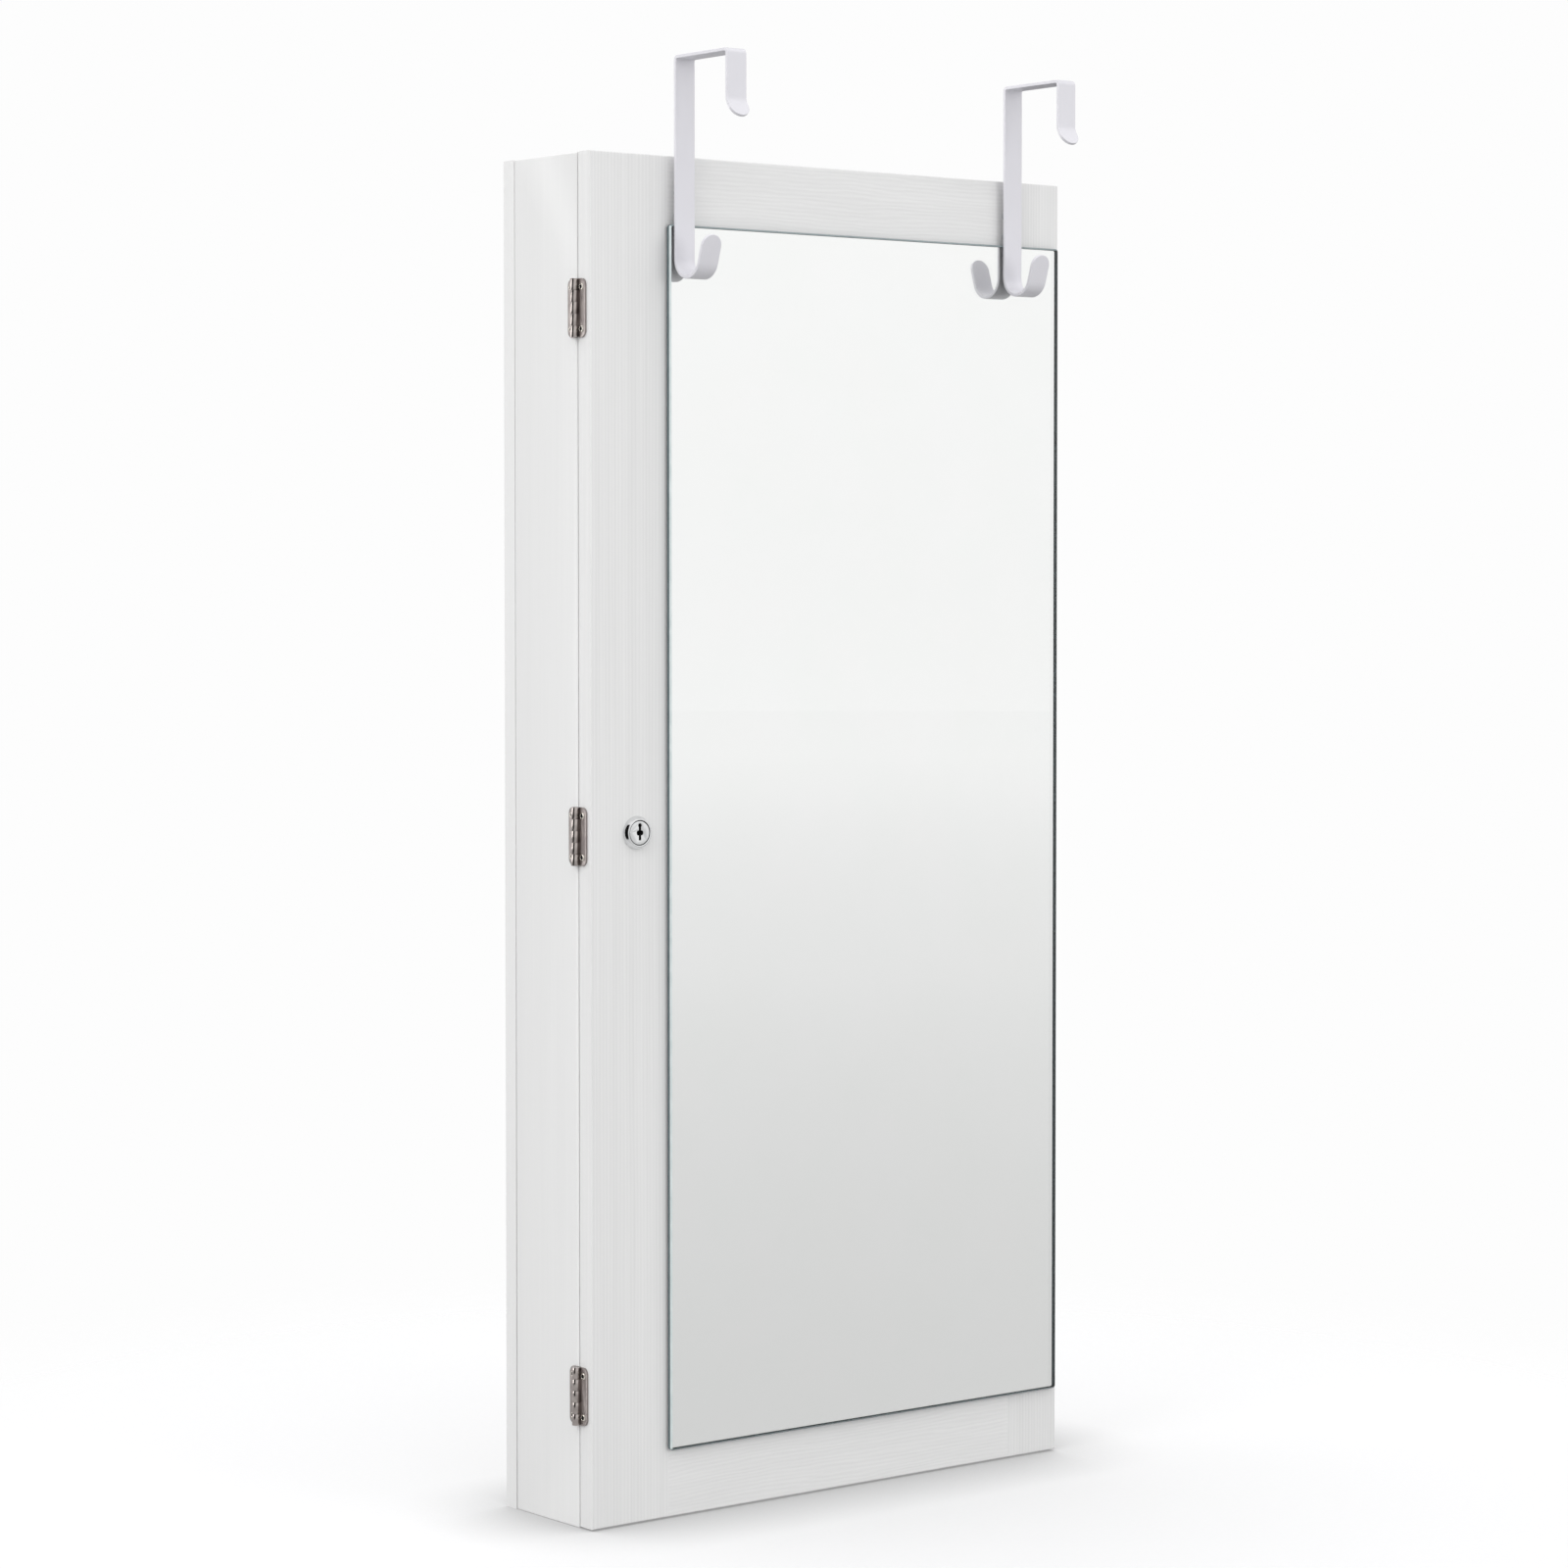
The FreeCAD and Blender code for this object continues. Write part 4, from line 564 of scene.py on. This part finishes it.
class CABINET_OT_mirror(bpy.types.Operator):
    """Build the frameless mirror: clear glass with a ground rim, the silver in it and the lacquer behind"""

    bl_idname = "cabinet.mirror"
    bl_label = "Mirror"

    def execute(self, context):
        low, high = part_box("mirror_glass")
        bm = flat_sheet(low, high, high.y)
        front = corners_of(bmesh.ops.extrude_face_region(bm, geom=bm.faces[:])["geom"])
        bmesh.ops.translate(bm, verts=front, vec=(0, low.y - high.y, 0))
        rim = [edge for edge in bm.edges if all(abs(vert.co.y - low.y) < MM / 10 for vert in edge.verts)]
        bevel(bm, rim, settings().arris, 1)
        bmesh.ops.recalc_face_normals(bm, faces=bm.faces)
        for face in bm.faces:
            face.material_index = GLASS_FINISHES.index(glass_finish(face.normal))
        for edge in bm.edges:
            edge.smooth = edge.calc_face_angle(0) < GLASS_SMOOTH
        new_piece("mirror_sheet", bm, "door", GLASS_FINISHES, ["mirror_glass"])

        inset = Vector((1, 0, 1)) * settings().arris / 2
        silver = flat_sheet(low + inset, high - inset, high.y - SILVER_DEPTH)
        new_piece("mirror_silver", silver, "door", ["silver"])
        dress("foam", "mirror_tape")
        return {"FINISHED"}


# ---- hooks

BEND_STEP = math.radians(7.5)  # the turn of one flat in a bend
END_ROUNDING = 0.495  # of the strap's width, just under half, so that the two corners stay apart


def bend_strap(bm, start, heading, width, moves):
    """Draws a ribbon from its start by straight runs (a length) and bends (a radius and an angle about X)."""
    place = Vector(start)
    ends = [bm.verts.new(place + Vector((side * width / 2, 0, 0))) for side in (-1, 1)]
    edge = bm.edges.new(ends)
    for distance, angle in moves:
        if angle:
            toward = Vector((1, 0, 0)).cross(heading) * math.copysign(distance, angle)
            turn = Matrix.Rotation(angle, 3, "X")
            steps = max(4, round(abs(angle) / BEND_STEP))
            made = bmesh.ops.spin(bm, geom=[edge], cent=place + toward, axis=(1, 0, 0), angle=angle,
                                  steps=steps, use_merge=False)["geom_last"]
            place = place + toward - turn @ toward
            heading = turn @ heading
        else:
            made = bmesh.ops.extrude_edge_only(bm, edges=[edge])["geom"]
            bmesh.ops.translate(bm, verts=corners_of(made), vec=heading * distance)
            place = place + heading * distance
        last = set(corners_of(made))
        edge = next(item for item in bm.edges if set(item.verts) == last)


def bent_hook(node):
    """Makes one hook from its cradle's tip, up the long leg, over the bar and down the short leg."""
    made = settings()
    low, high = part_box(node)
    half = made.strap_thick / 2
    cradle, corner, flare = (radius + half for radius in
                             (made.cradle_radius, made.strap_corner, made.flare_radius))
    long_leg, bar = high.y - half, high.z - half
    level = low.z + half + cradle
    up = Vector((0, -math.sin(made.tip_lean), math.cos(made.tip_lean)))
    out = Vector((0, -math.cos(made.tip_lean), -math.sin(made.tip_lean)))
    centre = Vector(((low.x + high.x) / 2, long_leg - cradle, level))
    flare_reach = flare * (1 - math.cos(made.flare_lean)) + made.flare_length * math.sin(made.flare_lean)
    short_leg = low.y + half * math.cos(made.flare_lean) + flare_reach
    bm = bmesh.new()
    bend_strap(bm, centre + out * cradle + up * made.tip_length, -up, high.x - low.x, [
        (made.tip_length, 0),
        (cradle, math.pi - made.tip_lean),
        (bar - corner - level, 0),
        (corner, math.pi / 2),
        (long_leg - short_leg - 2 * corner, 0),
        (corner, math.pi / 2),
        (made.short_leg - corner - half, 0),
        (flare, -made.flare_lean),
        (made.flare_length, 0),
    ])
    corners = [vert for vert in bm.verts if len(vert.link_edges) == 2]
    bevel(bm, corners, END_ROUNDING * (high.x - low.x), 10, "VERTICES")
    bmesh.ops.recalc_face_normals(bm, faces=bm.faces)
    piece = new_piece(f"{node}_strap", bm, "door", ["straps"], [node])
    plate = piece.modifiers.new("strap_thickness", "SOLIDIFY")
    plate.thickness = made.strap_thick
    plate.offset = 0
    plate.use_even_offset = True
    soften(piece, made.strap_edge, 3)
    return piece


class CABINET_OT_hooks(bpy.types.Operator):
    """Bend both hooks from flat strap, with round ends and softened edges"""

    bl_idname = "cabinet.hooks"
    bl_label = "Hooks"

    def execute(self, context):
        bent_hook("left_hook")
        bent_hook("right_hook")
        dress("zinc", "hook_studs", "hook_spacers", "hook_nuts")
        return {"FINISHED"}


# ---- hinges, lock and fittings


# A screw's outline as radius and height over the leaf, in mm, from its shank up over the dome into the drive.
DOME = ((0.0, -11.0), (1.0, -10.0), (1.0, -1.0), (2.05, -0.1), (2.1, 0.1), (1.9, 0.38), (1.55, 0.52),
        (1.25, 0.5), (1.1, 0.36), (0.95, -0.5), (0.0, -0.9))
# The drive in each screw's dome is painted near black, as painted shade, out to this radius.
DRIVE = 1.2  # mm, the dark drive's radius


def solids(bm):
    """Finds the middle of each separate solid of a mesh."""
    waiting, middles = set(bm.verts), []
    while waiting:
        stack = [waiting.pop()]
        found = list(stack)
        while stack:
            vert = stack.pop()
            near = {edge.other_vert(vert) for edge in vert.link_edges} & waiting
            waiting -= near
            stack += near
            found += near
        corners = [[pick(vert.co[axis] for vert in found) for axis in range(3)] for pick in (min, max)]
        middles.append(sum(map(Vector, corners), Vector()) / 2)
    return sorted(middles, key=lambda middle: middle.z)


def domed_screws(node):
    """Turns the hinge screws, each with a bright dome round a drive that is painted near black as its shade.
    """
    copy = merged_copy(node)
    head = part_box(node)[0].x
    axes = [Vector((head, middle.y, middle.z)) for middle in solids(copy)]
    bm = bmesh.new()
    for axis in axes:
        line = [bm.verts.new(axis + Vector((-height, radius, 0)) * MM) for radius, height in DOME]
        edges = [bm.edges.new(pair) for pair in zip(line, line[1:])]
        bmesh.ops.spin(bm, geom=line + edges, cent=axis, axis=(1, 0, 0), angle=math.tau, steps=32,
                       use_merge=True)
    copy.free()
    close_up(bm)
    for face in bm.faces:
        middle = face.calc_center_median()
        away = min(math.hypot(middle.y - axis.y, middle.z - axis.z) for axis in axes)
        # painted shade: the faces in the drive take the near black finish
        face.material_index = int(away < DRIVE * MM and middle.x < head + MM)
    new_piece(f"{node}_domed", bm, body_of(node), ["bright", "recess"], [node])


class CABINET_OT_hinges(bpy.types.Operator):
    """Give the butt hinges antique nickel and bright screws"""

    bl_idname = "cabinet.hinges"
    bl_label = "Hinges"

    def execute(self, context):
        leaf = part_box("case_leaf_screws")[0].x
        for level in ("upper", "middle", "lower"):
            for part in ("case_leaf", "door_leaf", "pin"):
                piece = fitting(f"{level}_hinge_{part}", "hinge")
                piece.data.materials.append(finish("barrel"))
                for face in piece.data.polygons:
                    face.material_index = int(face.center.x < leaf - 0.1 * MM)
        for node in ("case_leaf_screws", "door_leaf_screws"):
            domed_screws(node)
        return {"FINISHED"}


# The lock housing's outline as radius and height over the door's face, in mm, from the collar's foot inwards.
COLLAR = ((9.8, 0.0), (9.75, 0.8), (9.6, 1.2), (8.6, 3.05), (8.4, 3.35), (8.2, 3.45), (7.75, 3.45),
          (7.4, 3.2), (7.3, 1.2), (5.06, 1.2))
THREAD_PITCH, CREST, ROOT = 1.0, 8.0, 7.5  # mm, the last two as radii
# Faces of the lock nearer to its axis and further behind its front than this, in mm, are painted near black as
# shade: those in the groove round the plug and in the keyhole.
GROOVE, KEYHOLE = (7.5, 0.3), (6.0, 0.05)


def turned_housing():
    """Turns the lock's housing: a polished collar on the door's face, and a threaded barrel behind it."""
    low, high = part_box("lock_housing")
    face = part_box("door_left_stile")[0].y
    axis = Vector(((low.x + high.x) / 2, face, (low.z + high.z) / 2))
    reach = (high.y - face) / MM
    turns = int(reach / THREAD_PITCH)
    outline = [*COLLAR, (COLLAR[-1][0], -reach), (ROOT, -reach)]
    for turn in range(turns, 0, -1):
        outline += [(CREST, -(turn - 0.5) * THREAD_PITCH), (ROOT, -(turn - 1) * THREAD_PITCH)]
    bm = bmesh.new()
    loop = [bm.verts.new(axis + Vector((radius, -height, 0)) * MM) for radius, height in outline]
    edges = [bm.edges.new((first, second)) for first, second in zip(loop, loop[1:] + loop[:1])]
    bmesh.ops.spin(bm, geom=loop + edges, cent=axis, axis=(0, 1, 0), angle=math.tau, steps=72, use_merge=True)
    close_up(bm)
    for edge in bm.edges:
        edge.smooth = edge.calc_face_angle(0) < SHARP
    return bm


def paint_hollow_shade(piece, node, recess):
    """Paints near black, as shade, the faces that lie deep in the lock's groove and keyhole, behind the front
    of its CAD node.
    """
    within, behind = recess
    axis = sum(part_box("lock_plug"), Vector()) / 2
    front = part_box(node)[0].y
    piece.data.materials.append(finish("recess"))
    for face in piece.data.polygons:
        away = math.hypot(face.center.x - axis.x, face.center.z - axis.z)
        face.material_index = int(away < within * MM and face.center.y > front + behind * MM)


class CABINET_OT_lock(bpy.types.Operator):
    """Turn the lock's polished collar and thread, and finish its plug, cam, nut and strike"""

    bl_idname = "cabinet.lock"
    bl_label = "Cam lock"

    def execute(self, context):
        collar = new_piece("lock_collar", turned_housing(), "door", ["chrome"], ["lock_housing"])
        # painted shade in the groove round the plug and in the keyhole
        paint_hollow_shade(collar, "lock_housing", GROOVE)
        paint_hollow_shade(fitting("lock_plug", "chrome", 0.12 * MM), "lock_plug", KEYHOLE)
        for node in ("lock_nut", "lock_cam", "cam_screw", "lock_strike"):
            fitting(node, "zinc")
        return {"FINISHED"}


class CABINET_OT_fittings(bpy.types.Operator):
    """Finish the catch, its keeper, the pegs, the rods and the screws"""

    bl_idname = "cabinet.fittings"
    bl_label = "Fittings"

    def execute(self, context):
        fitting("catch_keeper", "zinc")
        fitting("catch_housing", "plastic", 0.4 * MM)
        dress("zinc", "back_screws", "fitting_screws", "keeper_screw")
        dress("ferrite", "catch_magnet")
        dress("satin", "necklace_pegs", "bracelet_rods")
        return {"FINISHED"}


# ---- pads

# The rounding of a pad's foam and the size of the even mesh under its velvet.
ROLL_ROUNDING, ROLL_MESH = 2.5 * MM, 1.6 * MM
PAD_ROUNDING, PAD_MESH = 2 * MM, 2.8 * MM
STUFFING_PRESSURE, STUFFING_STEPS = 4, 20


def keep_shape(piece):
    """Makes what the piece's modifiers give its own mesh."""
    seen = piece.evaluated_get(bpy.context.evaluated_depsgraph_get())
    shape = bpy.data.meshes.new_from_object(seen)
    piece.modifiers.clear()
    piece.data = shape


def stuff(piece, voxel, swell, room):
    """Swells a foam piece in its cover by a small cloth simulation, held to a distance and to its room."""
    even = piece.modifiers.new("even_mesh", "REMESH")
    even.mode = "VOXEL"
    even.voxel_size = voxel
    keep_shape(piece)
    before = [vert.co.copy() for vert in piece.data.vertices]
    cover = piece.modifiers.new("cover", "CLOTH")
    cover.settings.use_pressure = True
    cover.settings.uniform_pressure_force = STUFFING_PRESSURE
    cover.settings.effector_weights.gravity = 0
    for step in range(1, STUFFING_STEPS + 1):
        bpy.context.scene.frame_set(step)
    keep_shape(piece)
    bpy.context.scene.frame_set(1)
    low, high = room
    for vert, start in zip(piece.data.vertices, before):
        move = vert.co - start
        if move.length > swell:
            move *= swell / move.length
        vert.co = [min(max(value, least), most) for value, least, most in zip(start + move, low, high)]
    for face in piece.data.polygons:
        face.use_smooth = True
    finer = piece.modifiers.new("finer", "SUBSURF")
    finer.levels = finer.render_levels = 1


class CABINET_OT_pads(bpy.types.Operator):
    """Stuff the ring rolls and the earring pad with foam under velvet"""

    bl_idname = "cabinet.pads"
    bl_label = "Pads"

    def execute(self, context):
        made = settings()
        low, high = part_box("ring_rolls")
        across = high.y - low.y
        count = round((high.z - low.z) / across)
        pitch = (high.z - low.z - across) / (count - 1)
        for index in range(count):
            level = low.z + across / 2 + pitch * index
            bm = bmesh.new()
            radius = across / 2 - made.roll_swell
            bmesh.ops.create_cone(bm, cap_ends=True, segments=32, radius1=radius, radius2=radius,
                                  depth=high.x - low.x - 2 * made.roll_swell)
            bevel(bm, [edge for edge in bm.edges if edge.calc_face_angle(0) > SQUARE], ROLL_ROUNDING, 4)
            middle = Vector(((low.x + high.x) / 2, (low.y + high.y) / 2, level))
            lie = Matrix.Translation(middle) @ Matrix.Rotation(math.pi / 2, 4, "Y")
            bmesh.ops.transform(bm, matrix=lie, verts=bm.verts)
            roll = new_piece(f"ring_roll_{index + 1}", bm, "case", ["velvet"], ["ring_rolls"])
            rise = Vector((0, 0, across / 2))
            stuff(roll, ROLL_MESH, made.roll_swell,
                  (Vector((low.x, low.y, level)) - rise, Vector((high.x, high.y, level)) + rise))

        low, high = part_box("stud_pad")
        bm = bmesh.new()
        bmesh.ops.create_cube(bm, size=1)
        margin = Vector((made.pad_swell, made.pad_swell / 2, made.pad_swell))
        size = high - low - 2 * margin
        middle = (low + high) / 2 - Vector((0, margin.y, 0))
        block = Matrix.Translation(middle) @ Matrix.Diagonal((*size, 1))
        bmesh.ops.transform(bm, matrix=block, verts=bm.verts)
        bevel(bm, bm.edges[:], PAD_ROUNDING, 4)
        pad = new_piece("earring_pad", bm, "door", ["velvet"], ["stud_pad"])
        stuff(pad, PAD_MESH, made.pad_swell, (low, high))
        return {"FINISHED"}


# ---- studio

# The camera as it was worked out from the edges in the photo.
LENS = 95.89  # mm, on a 36 mm wide sensor
LENS_SHIFT = -0.04
CAMERA_PLACE = Vector((-1593.5, -1998.2, 559.2)) * MM
CAMERA_YAW = math.radians(38.503)
CAMERA_PITCH = math.radians(2.082)

# Each soft light's place, its width in metres and its power in watts. All look at one point of the cabinet.
LIGHTS = {
    "key_light": ((1.3, -4.0, 0.9), 1.2, 22),
    "side_light": ((-4.2, -0.9, 2.4), 2.4, 41),
}
LIT_POINT = Vector((0, 0, 0.4))

BACKDROP = "#FDFDFD"
FLOOR_RADIUS = 14
FLOOR_FADE = (0.36, 0.8)  # m from the middle, where the floor's fade into the backdrop starts and ends
FLOOR_GLOW = 0.32
FOOT_SHADE = 0.075  # m, how far from the cabinet's foot the floor darkens by it
# The floor as metal and glass mirror it glows with painted shade: its tones, darker near the cabinet and
# lighter far off, by the share of the way out to a distance in metres.
FAR_FLOOR = 10.0
MIRRORED_FLOOR_SHADING = ((0.0, "#D3D3D3"), (0.03, "#D5D5D5"), (0.09, "#D9D9D9"), (0.33, "#E7E7E7"), (0.8, "#F3F3F3"),
               (1.0, "#F6F6F6"))
PANEL_FOOT = (0, 0, 0.8)  # m, raises a place on the floor, so that the panels show in the mirrored floor too


class CABINET_OT_stage(bpy.types.Operator):
    """Set up the pale floor, the soft lights, the backdrop and the camera"""

    bl_idname = "cabinet.stage"
    bl_label = "Studio"

    def execute(self, context):
        make_floor()
        make_studio()
        for name, (place, wide, watts) in LIGHTS.items():
            soft_light(name, place, wide, watts)
        camera = bpy.data.objects.new("camera", bpy.data.cameras.new("camera"))
        camera.data.lens = LENS
        camera.data.shift_y = LENS_SHIFT
        camera.location = CAMERA_PLACE
        camera.rotation_euler = (math.pi / 2 - CAMERA_PITCH, 0, -CAMERA_YAW)
        context.scene.collection.objects.link(camera)
        context.scene.camera = camera
        context.scene.view_settings.view_transform = "Standard"
        return {"FINISHED"}


def soft_light(name, place, wide, watts):
    """Adds a square soft light that faces the middle of the cabinet and doesn't show in its metal."""
    lamp = bpy.data.lights.new(name, "AREA")
    lamp.size = wide
    lamp.energy = watts
    light = bpy.data.objects.new(name, lamp)
    light.location = place
    light.rotation_euler = (LIT_POINT - Vector(place)).to_track_quat("-Z", "Y").to_euler()
    light.visible_glossy = False
    bpy.context.scene.collection.objects.link(light)


def rays(tree):
    """Tells whether the camera sends a ray, and whether metal or glass sends it on."""
    path = add(tree, "ShaderNodeLightPath")
    sent_on = add(tree, "ShaderNodeMath", {0: path.outputs["Is Glossy Ray"],
                                           1: path.outputs["Is Transmission Ray"]}, operation="MAXIMUM")
    return path.outputs["Is Camera Ray"], sent_on


def make_floor():
    """Makes a round pale floor that keeps the cabinet's shadow and fades into the backdrop."""
    material, tree, place = new_material("paper_floor")
    from_camera, sent_on = rays(tree)
    radius = add(tree, "ShaderNodeVectorMath", {0: place}, operation="LENGTH").outputs["Value"]
    near, far = FLOOR_FADE
    fade = add(tree, "ShaderNodeMapRange", {"Value": radius, "From Min": near, "From Max": far},
               interpolation_type="SMOOTHSTEP")
    fleck = add(tree, "ShaderNodeTexNoise", {"Vector": place, "Scale": 1 / (3 * MM)})
    paper = add(tree, "ShaderNodeMix", {"Factor": fleck, "A": linear("#C2C2C2"), "B": linear("#C6C6C6")},
                data_type="RGBA")
    # painted shade: the paper's colour darkens by ambient occlusion near the cabinet's foot
    painted_foot_shade = add(tree, "ShaderNodeAmbientOcclusion", {"Color": paper, "Distance": FOOT_SHADE}, samples=12)
    lit = add(tree, "ShaderNodeBsdfDiffuse", {"Color": painted_foot_shade.outputs["Color"]})
    glow = add(tree, "ShaderNodeEmission", {"Color": linear(BACKDROP), "Strength": FLOOR_GLOW})
    sheet = add(tree, "ShaderNodeAddShader", {0: lit, 1: glow})
    clear = add(tree, "ShaderNodeBsdfTransparent")
    seen = add(tree, "ShaderNodeMixShader", {0: fade, 1: sheet, 2: clear})
    bounce = add(tree, "ShaderNodeBsdfDiffuse", {"Color": linear("#A8A8A8")})
    direct = add(tree, "ShaderNodeMixShader", {0: from_camera, 1: bounce, 2: seen})
    # painted shade: in what metal and glass mirror, the floor glows darker near the middle and lighter far out
    away = add(tree, "ShaderNodeMapRange", {"Value": radius, "From Max": FAR_FLOOR})
    ramp = add(tree, "ShaderNodeValToRGB", {"Fac": away})
    for spot, _ in MIRRORED_FLOOR_SHADING[1:-1]:
        ramp.color_ramp.elements.new(spot)
    for element, (_, tone) in zip(ramp.color_ramp.elements, MIRRORED_FLOOR_SHADING):
        element.color = linear(tone)
    toward = add(tree, "ShaderNodeVectorMath", {0: place, 1: PANEL_FOOT}, operation="ADD")
    mirrored = add(tree, "ShaderNodeEmission", {"Color": studio_panels(tree, toward, ramp)})
    whole = add(tree, "ShaderNodeMixShader", {0: sent_on, 1: direct, 2: mirrored})
    add(tree, "ShaderNodeOutputMaterial", {"Surface": whole})
    bm = bmesh.new()
    bmesh.ops.create_circle(bm, cap_ends=True, radius=FLOOR_RADIUS, segments=96)
    mesh = bpy.data.meshes.new("floor")
    bm.to_mesh(mesh)
    bm.free()
    mesh.materials.append(material)
    floor = bpy.data.objects.new("floor", mesh)
    bpy.context.scene.collection.objects.link(floor)


# The dark cards and the lamp that the metal mirrors, each as the way that it lies in, half its width in
# degrees, a colour and a brightness. The camera doesn't see them. From its place they don't show in the door's
# mirror either.
PANELS = (
    ((-0.99, -0.13, 0.13), 22, "#101011", 1.0),
    ((0.87, 0.5, 0.0), 26, "#262628", 1.0),
    ((0.62, 0.0, 0.35), 14, "#4A4A4C", 1.0),
    ((-0.82, 0.572, 0.0), 8, "#FFFFFF", 5.0),
)
PANEL_SQUASH = (1, 1, 0.45)  # makes the panels taller than wide
PANEL_EDGE = (1.2, 0.8)  # where a panel's soft edge starts and ends, in shares of its half width
AMBIENT = (0.96, 1.5)  # the strength of the light from the horizon and from overhead


def studio_panels(tree, direction, below):
    """Puts the tall soft-edged panels in the mirrored studio, over what is below them."""
    tall = add(tree, "ShaderNodeVectorMath", {0: direction, 1: PANEL_SQUASH}, operation="MULTIPLY")
    level = add(tree, "ShaderNodeVectorMath", {0: tall}, operation="NORMALIZE")
    for way, spread, colour, strength in PANELS:
        toward = add(tree, "ShaderNodeVectorMath", {0: level, 1: Vector(way).normalized()},
                     operation="DOT_PRODUCT")
        outer, inner = (math.cos(math.radians(spread * share)) for share in PANEL_EDGE)
        mask = add(tree, "ShaderNodeMapRange",
                   {"Value": toward.outputs["Value"], "From Min": outer, "From Max": inner},
                   interpolation_type="SMOOTHSTEP")
        bright = (*(channel * strength for channel in linear(colour)[:3]), 1.0)
        below = add(tree, "ShaderNodeMix", {"Factor": mask, "A": below, "B": bright}, data_type="RGBA")
    return below


def make_studio():
    """Makes the world: white behind the cabinet, soft light on it, and the studio that its metal mirrors."""
    world = bpy.data.worlds.new("studio")
    world.use_nodes = True
    tree = world.node_tree
    tree.nodes.clear()
    from_camera, sent_on = rays(tree)
    direction = add(tree, "ShaderNodeTexCoord").outputs["Generated"]
    split = add(tree, "ShaderNodeSeparateXYZ", {0: direction})
    rise = add(tree, "ShaderNodeMapRange", {"Value": split.outputs["Z"], "From Max": 0.1})
    wall = add(tree, "ShaderNodeMix", {"Factor": rise, "A": linear("#F8F8F8"), "B": linear("#FCFCFC")},
               data_type="RGBA")
    shown = add(tree, "ShaderNodeBackground", {"Color": linear(BACKDROP), "Strength": 1.0})
    mirrored = add(tree, "ShaderNodeBackground",
                   {"Color": studio_panels(tree, direction, wall), "Strength": 1.0})
    level, overhead = AMBIENT
    strength = add(tree, "ShaderNodeMapRange",
                   {"Value": split.outputs["Z"], "To Min": level, "To Max": overhead})
    ambient = add(tree, "ShaderNodeBackground", {"Color": linear("#F6F6F7"), "Strength": strength})
    unseen = add(tree, "ShaderNodeMixShader", {0: sent_on, 1: ambient, 2: mirrored})
    whole = add(tree, "ShaderNodeMixShader", {0: from_camera, 1: unseen, 2: shown})
    add(tree, "ShaderNodeOutputWorld", {"Surface": whole})
    bpy.context.scene.world = world


# ---- panel and registration

OPERATORS = (CABINET_OT_boards, CABINET_OT_mirror, CABINET_OT_hooks, CABINET_OT_hinges, CABINET_OT_lock,
             CABINET_OT_fittings, CABINET_OT_pads, CABINET_OT_stage)


class CABINET_PT_sidebar(bpy.types.Panel):
    """Lists the values to change and the steps that dress the cabinet."""

    bl_idname = "CABINET_PT_sidebar"
    bl_label = "Mirror cabinet"
    bl_space_type = "VIEW_3D"
    bl_region_type = "UI"
    bl_category = "Cabinet"

    def draw(self, context):
        for name in CabinetSettings.__annotations__:
            self.layout.prop(context.scene.cabinet_settings, name)
        for operator in OPERATORS:
            self.layout.operator(operator.bl_idname)


CLASSES = (CabinetSettings, *OPERATORS, CABINET_PT_sidebar)


def register():
    for item in CLASSES:
        bpy.utils.register_class(item)
    bpy.types.Scene.cabinet_settings = bpy.props.PointerProperty(type=CabinetSettings)


def unregister():
    del bpy.types.Scene.cabinet_settings
    for item in reversed(CLASSES):
        bpy.utils.unregister_class(item)


def main():
    """Dresses the cabinet step by step."""
    register()
    for operator in OPERATORS:
        step = getattr(bpy.ops.cabinet, operator.bl_idname.split(".")[1])
        step()


if __name__ == "__main__":
    main()
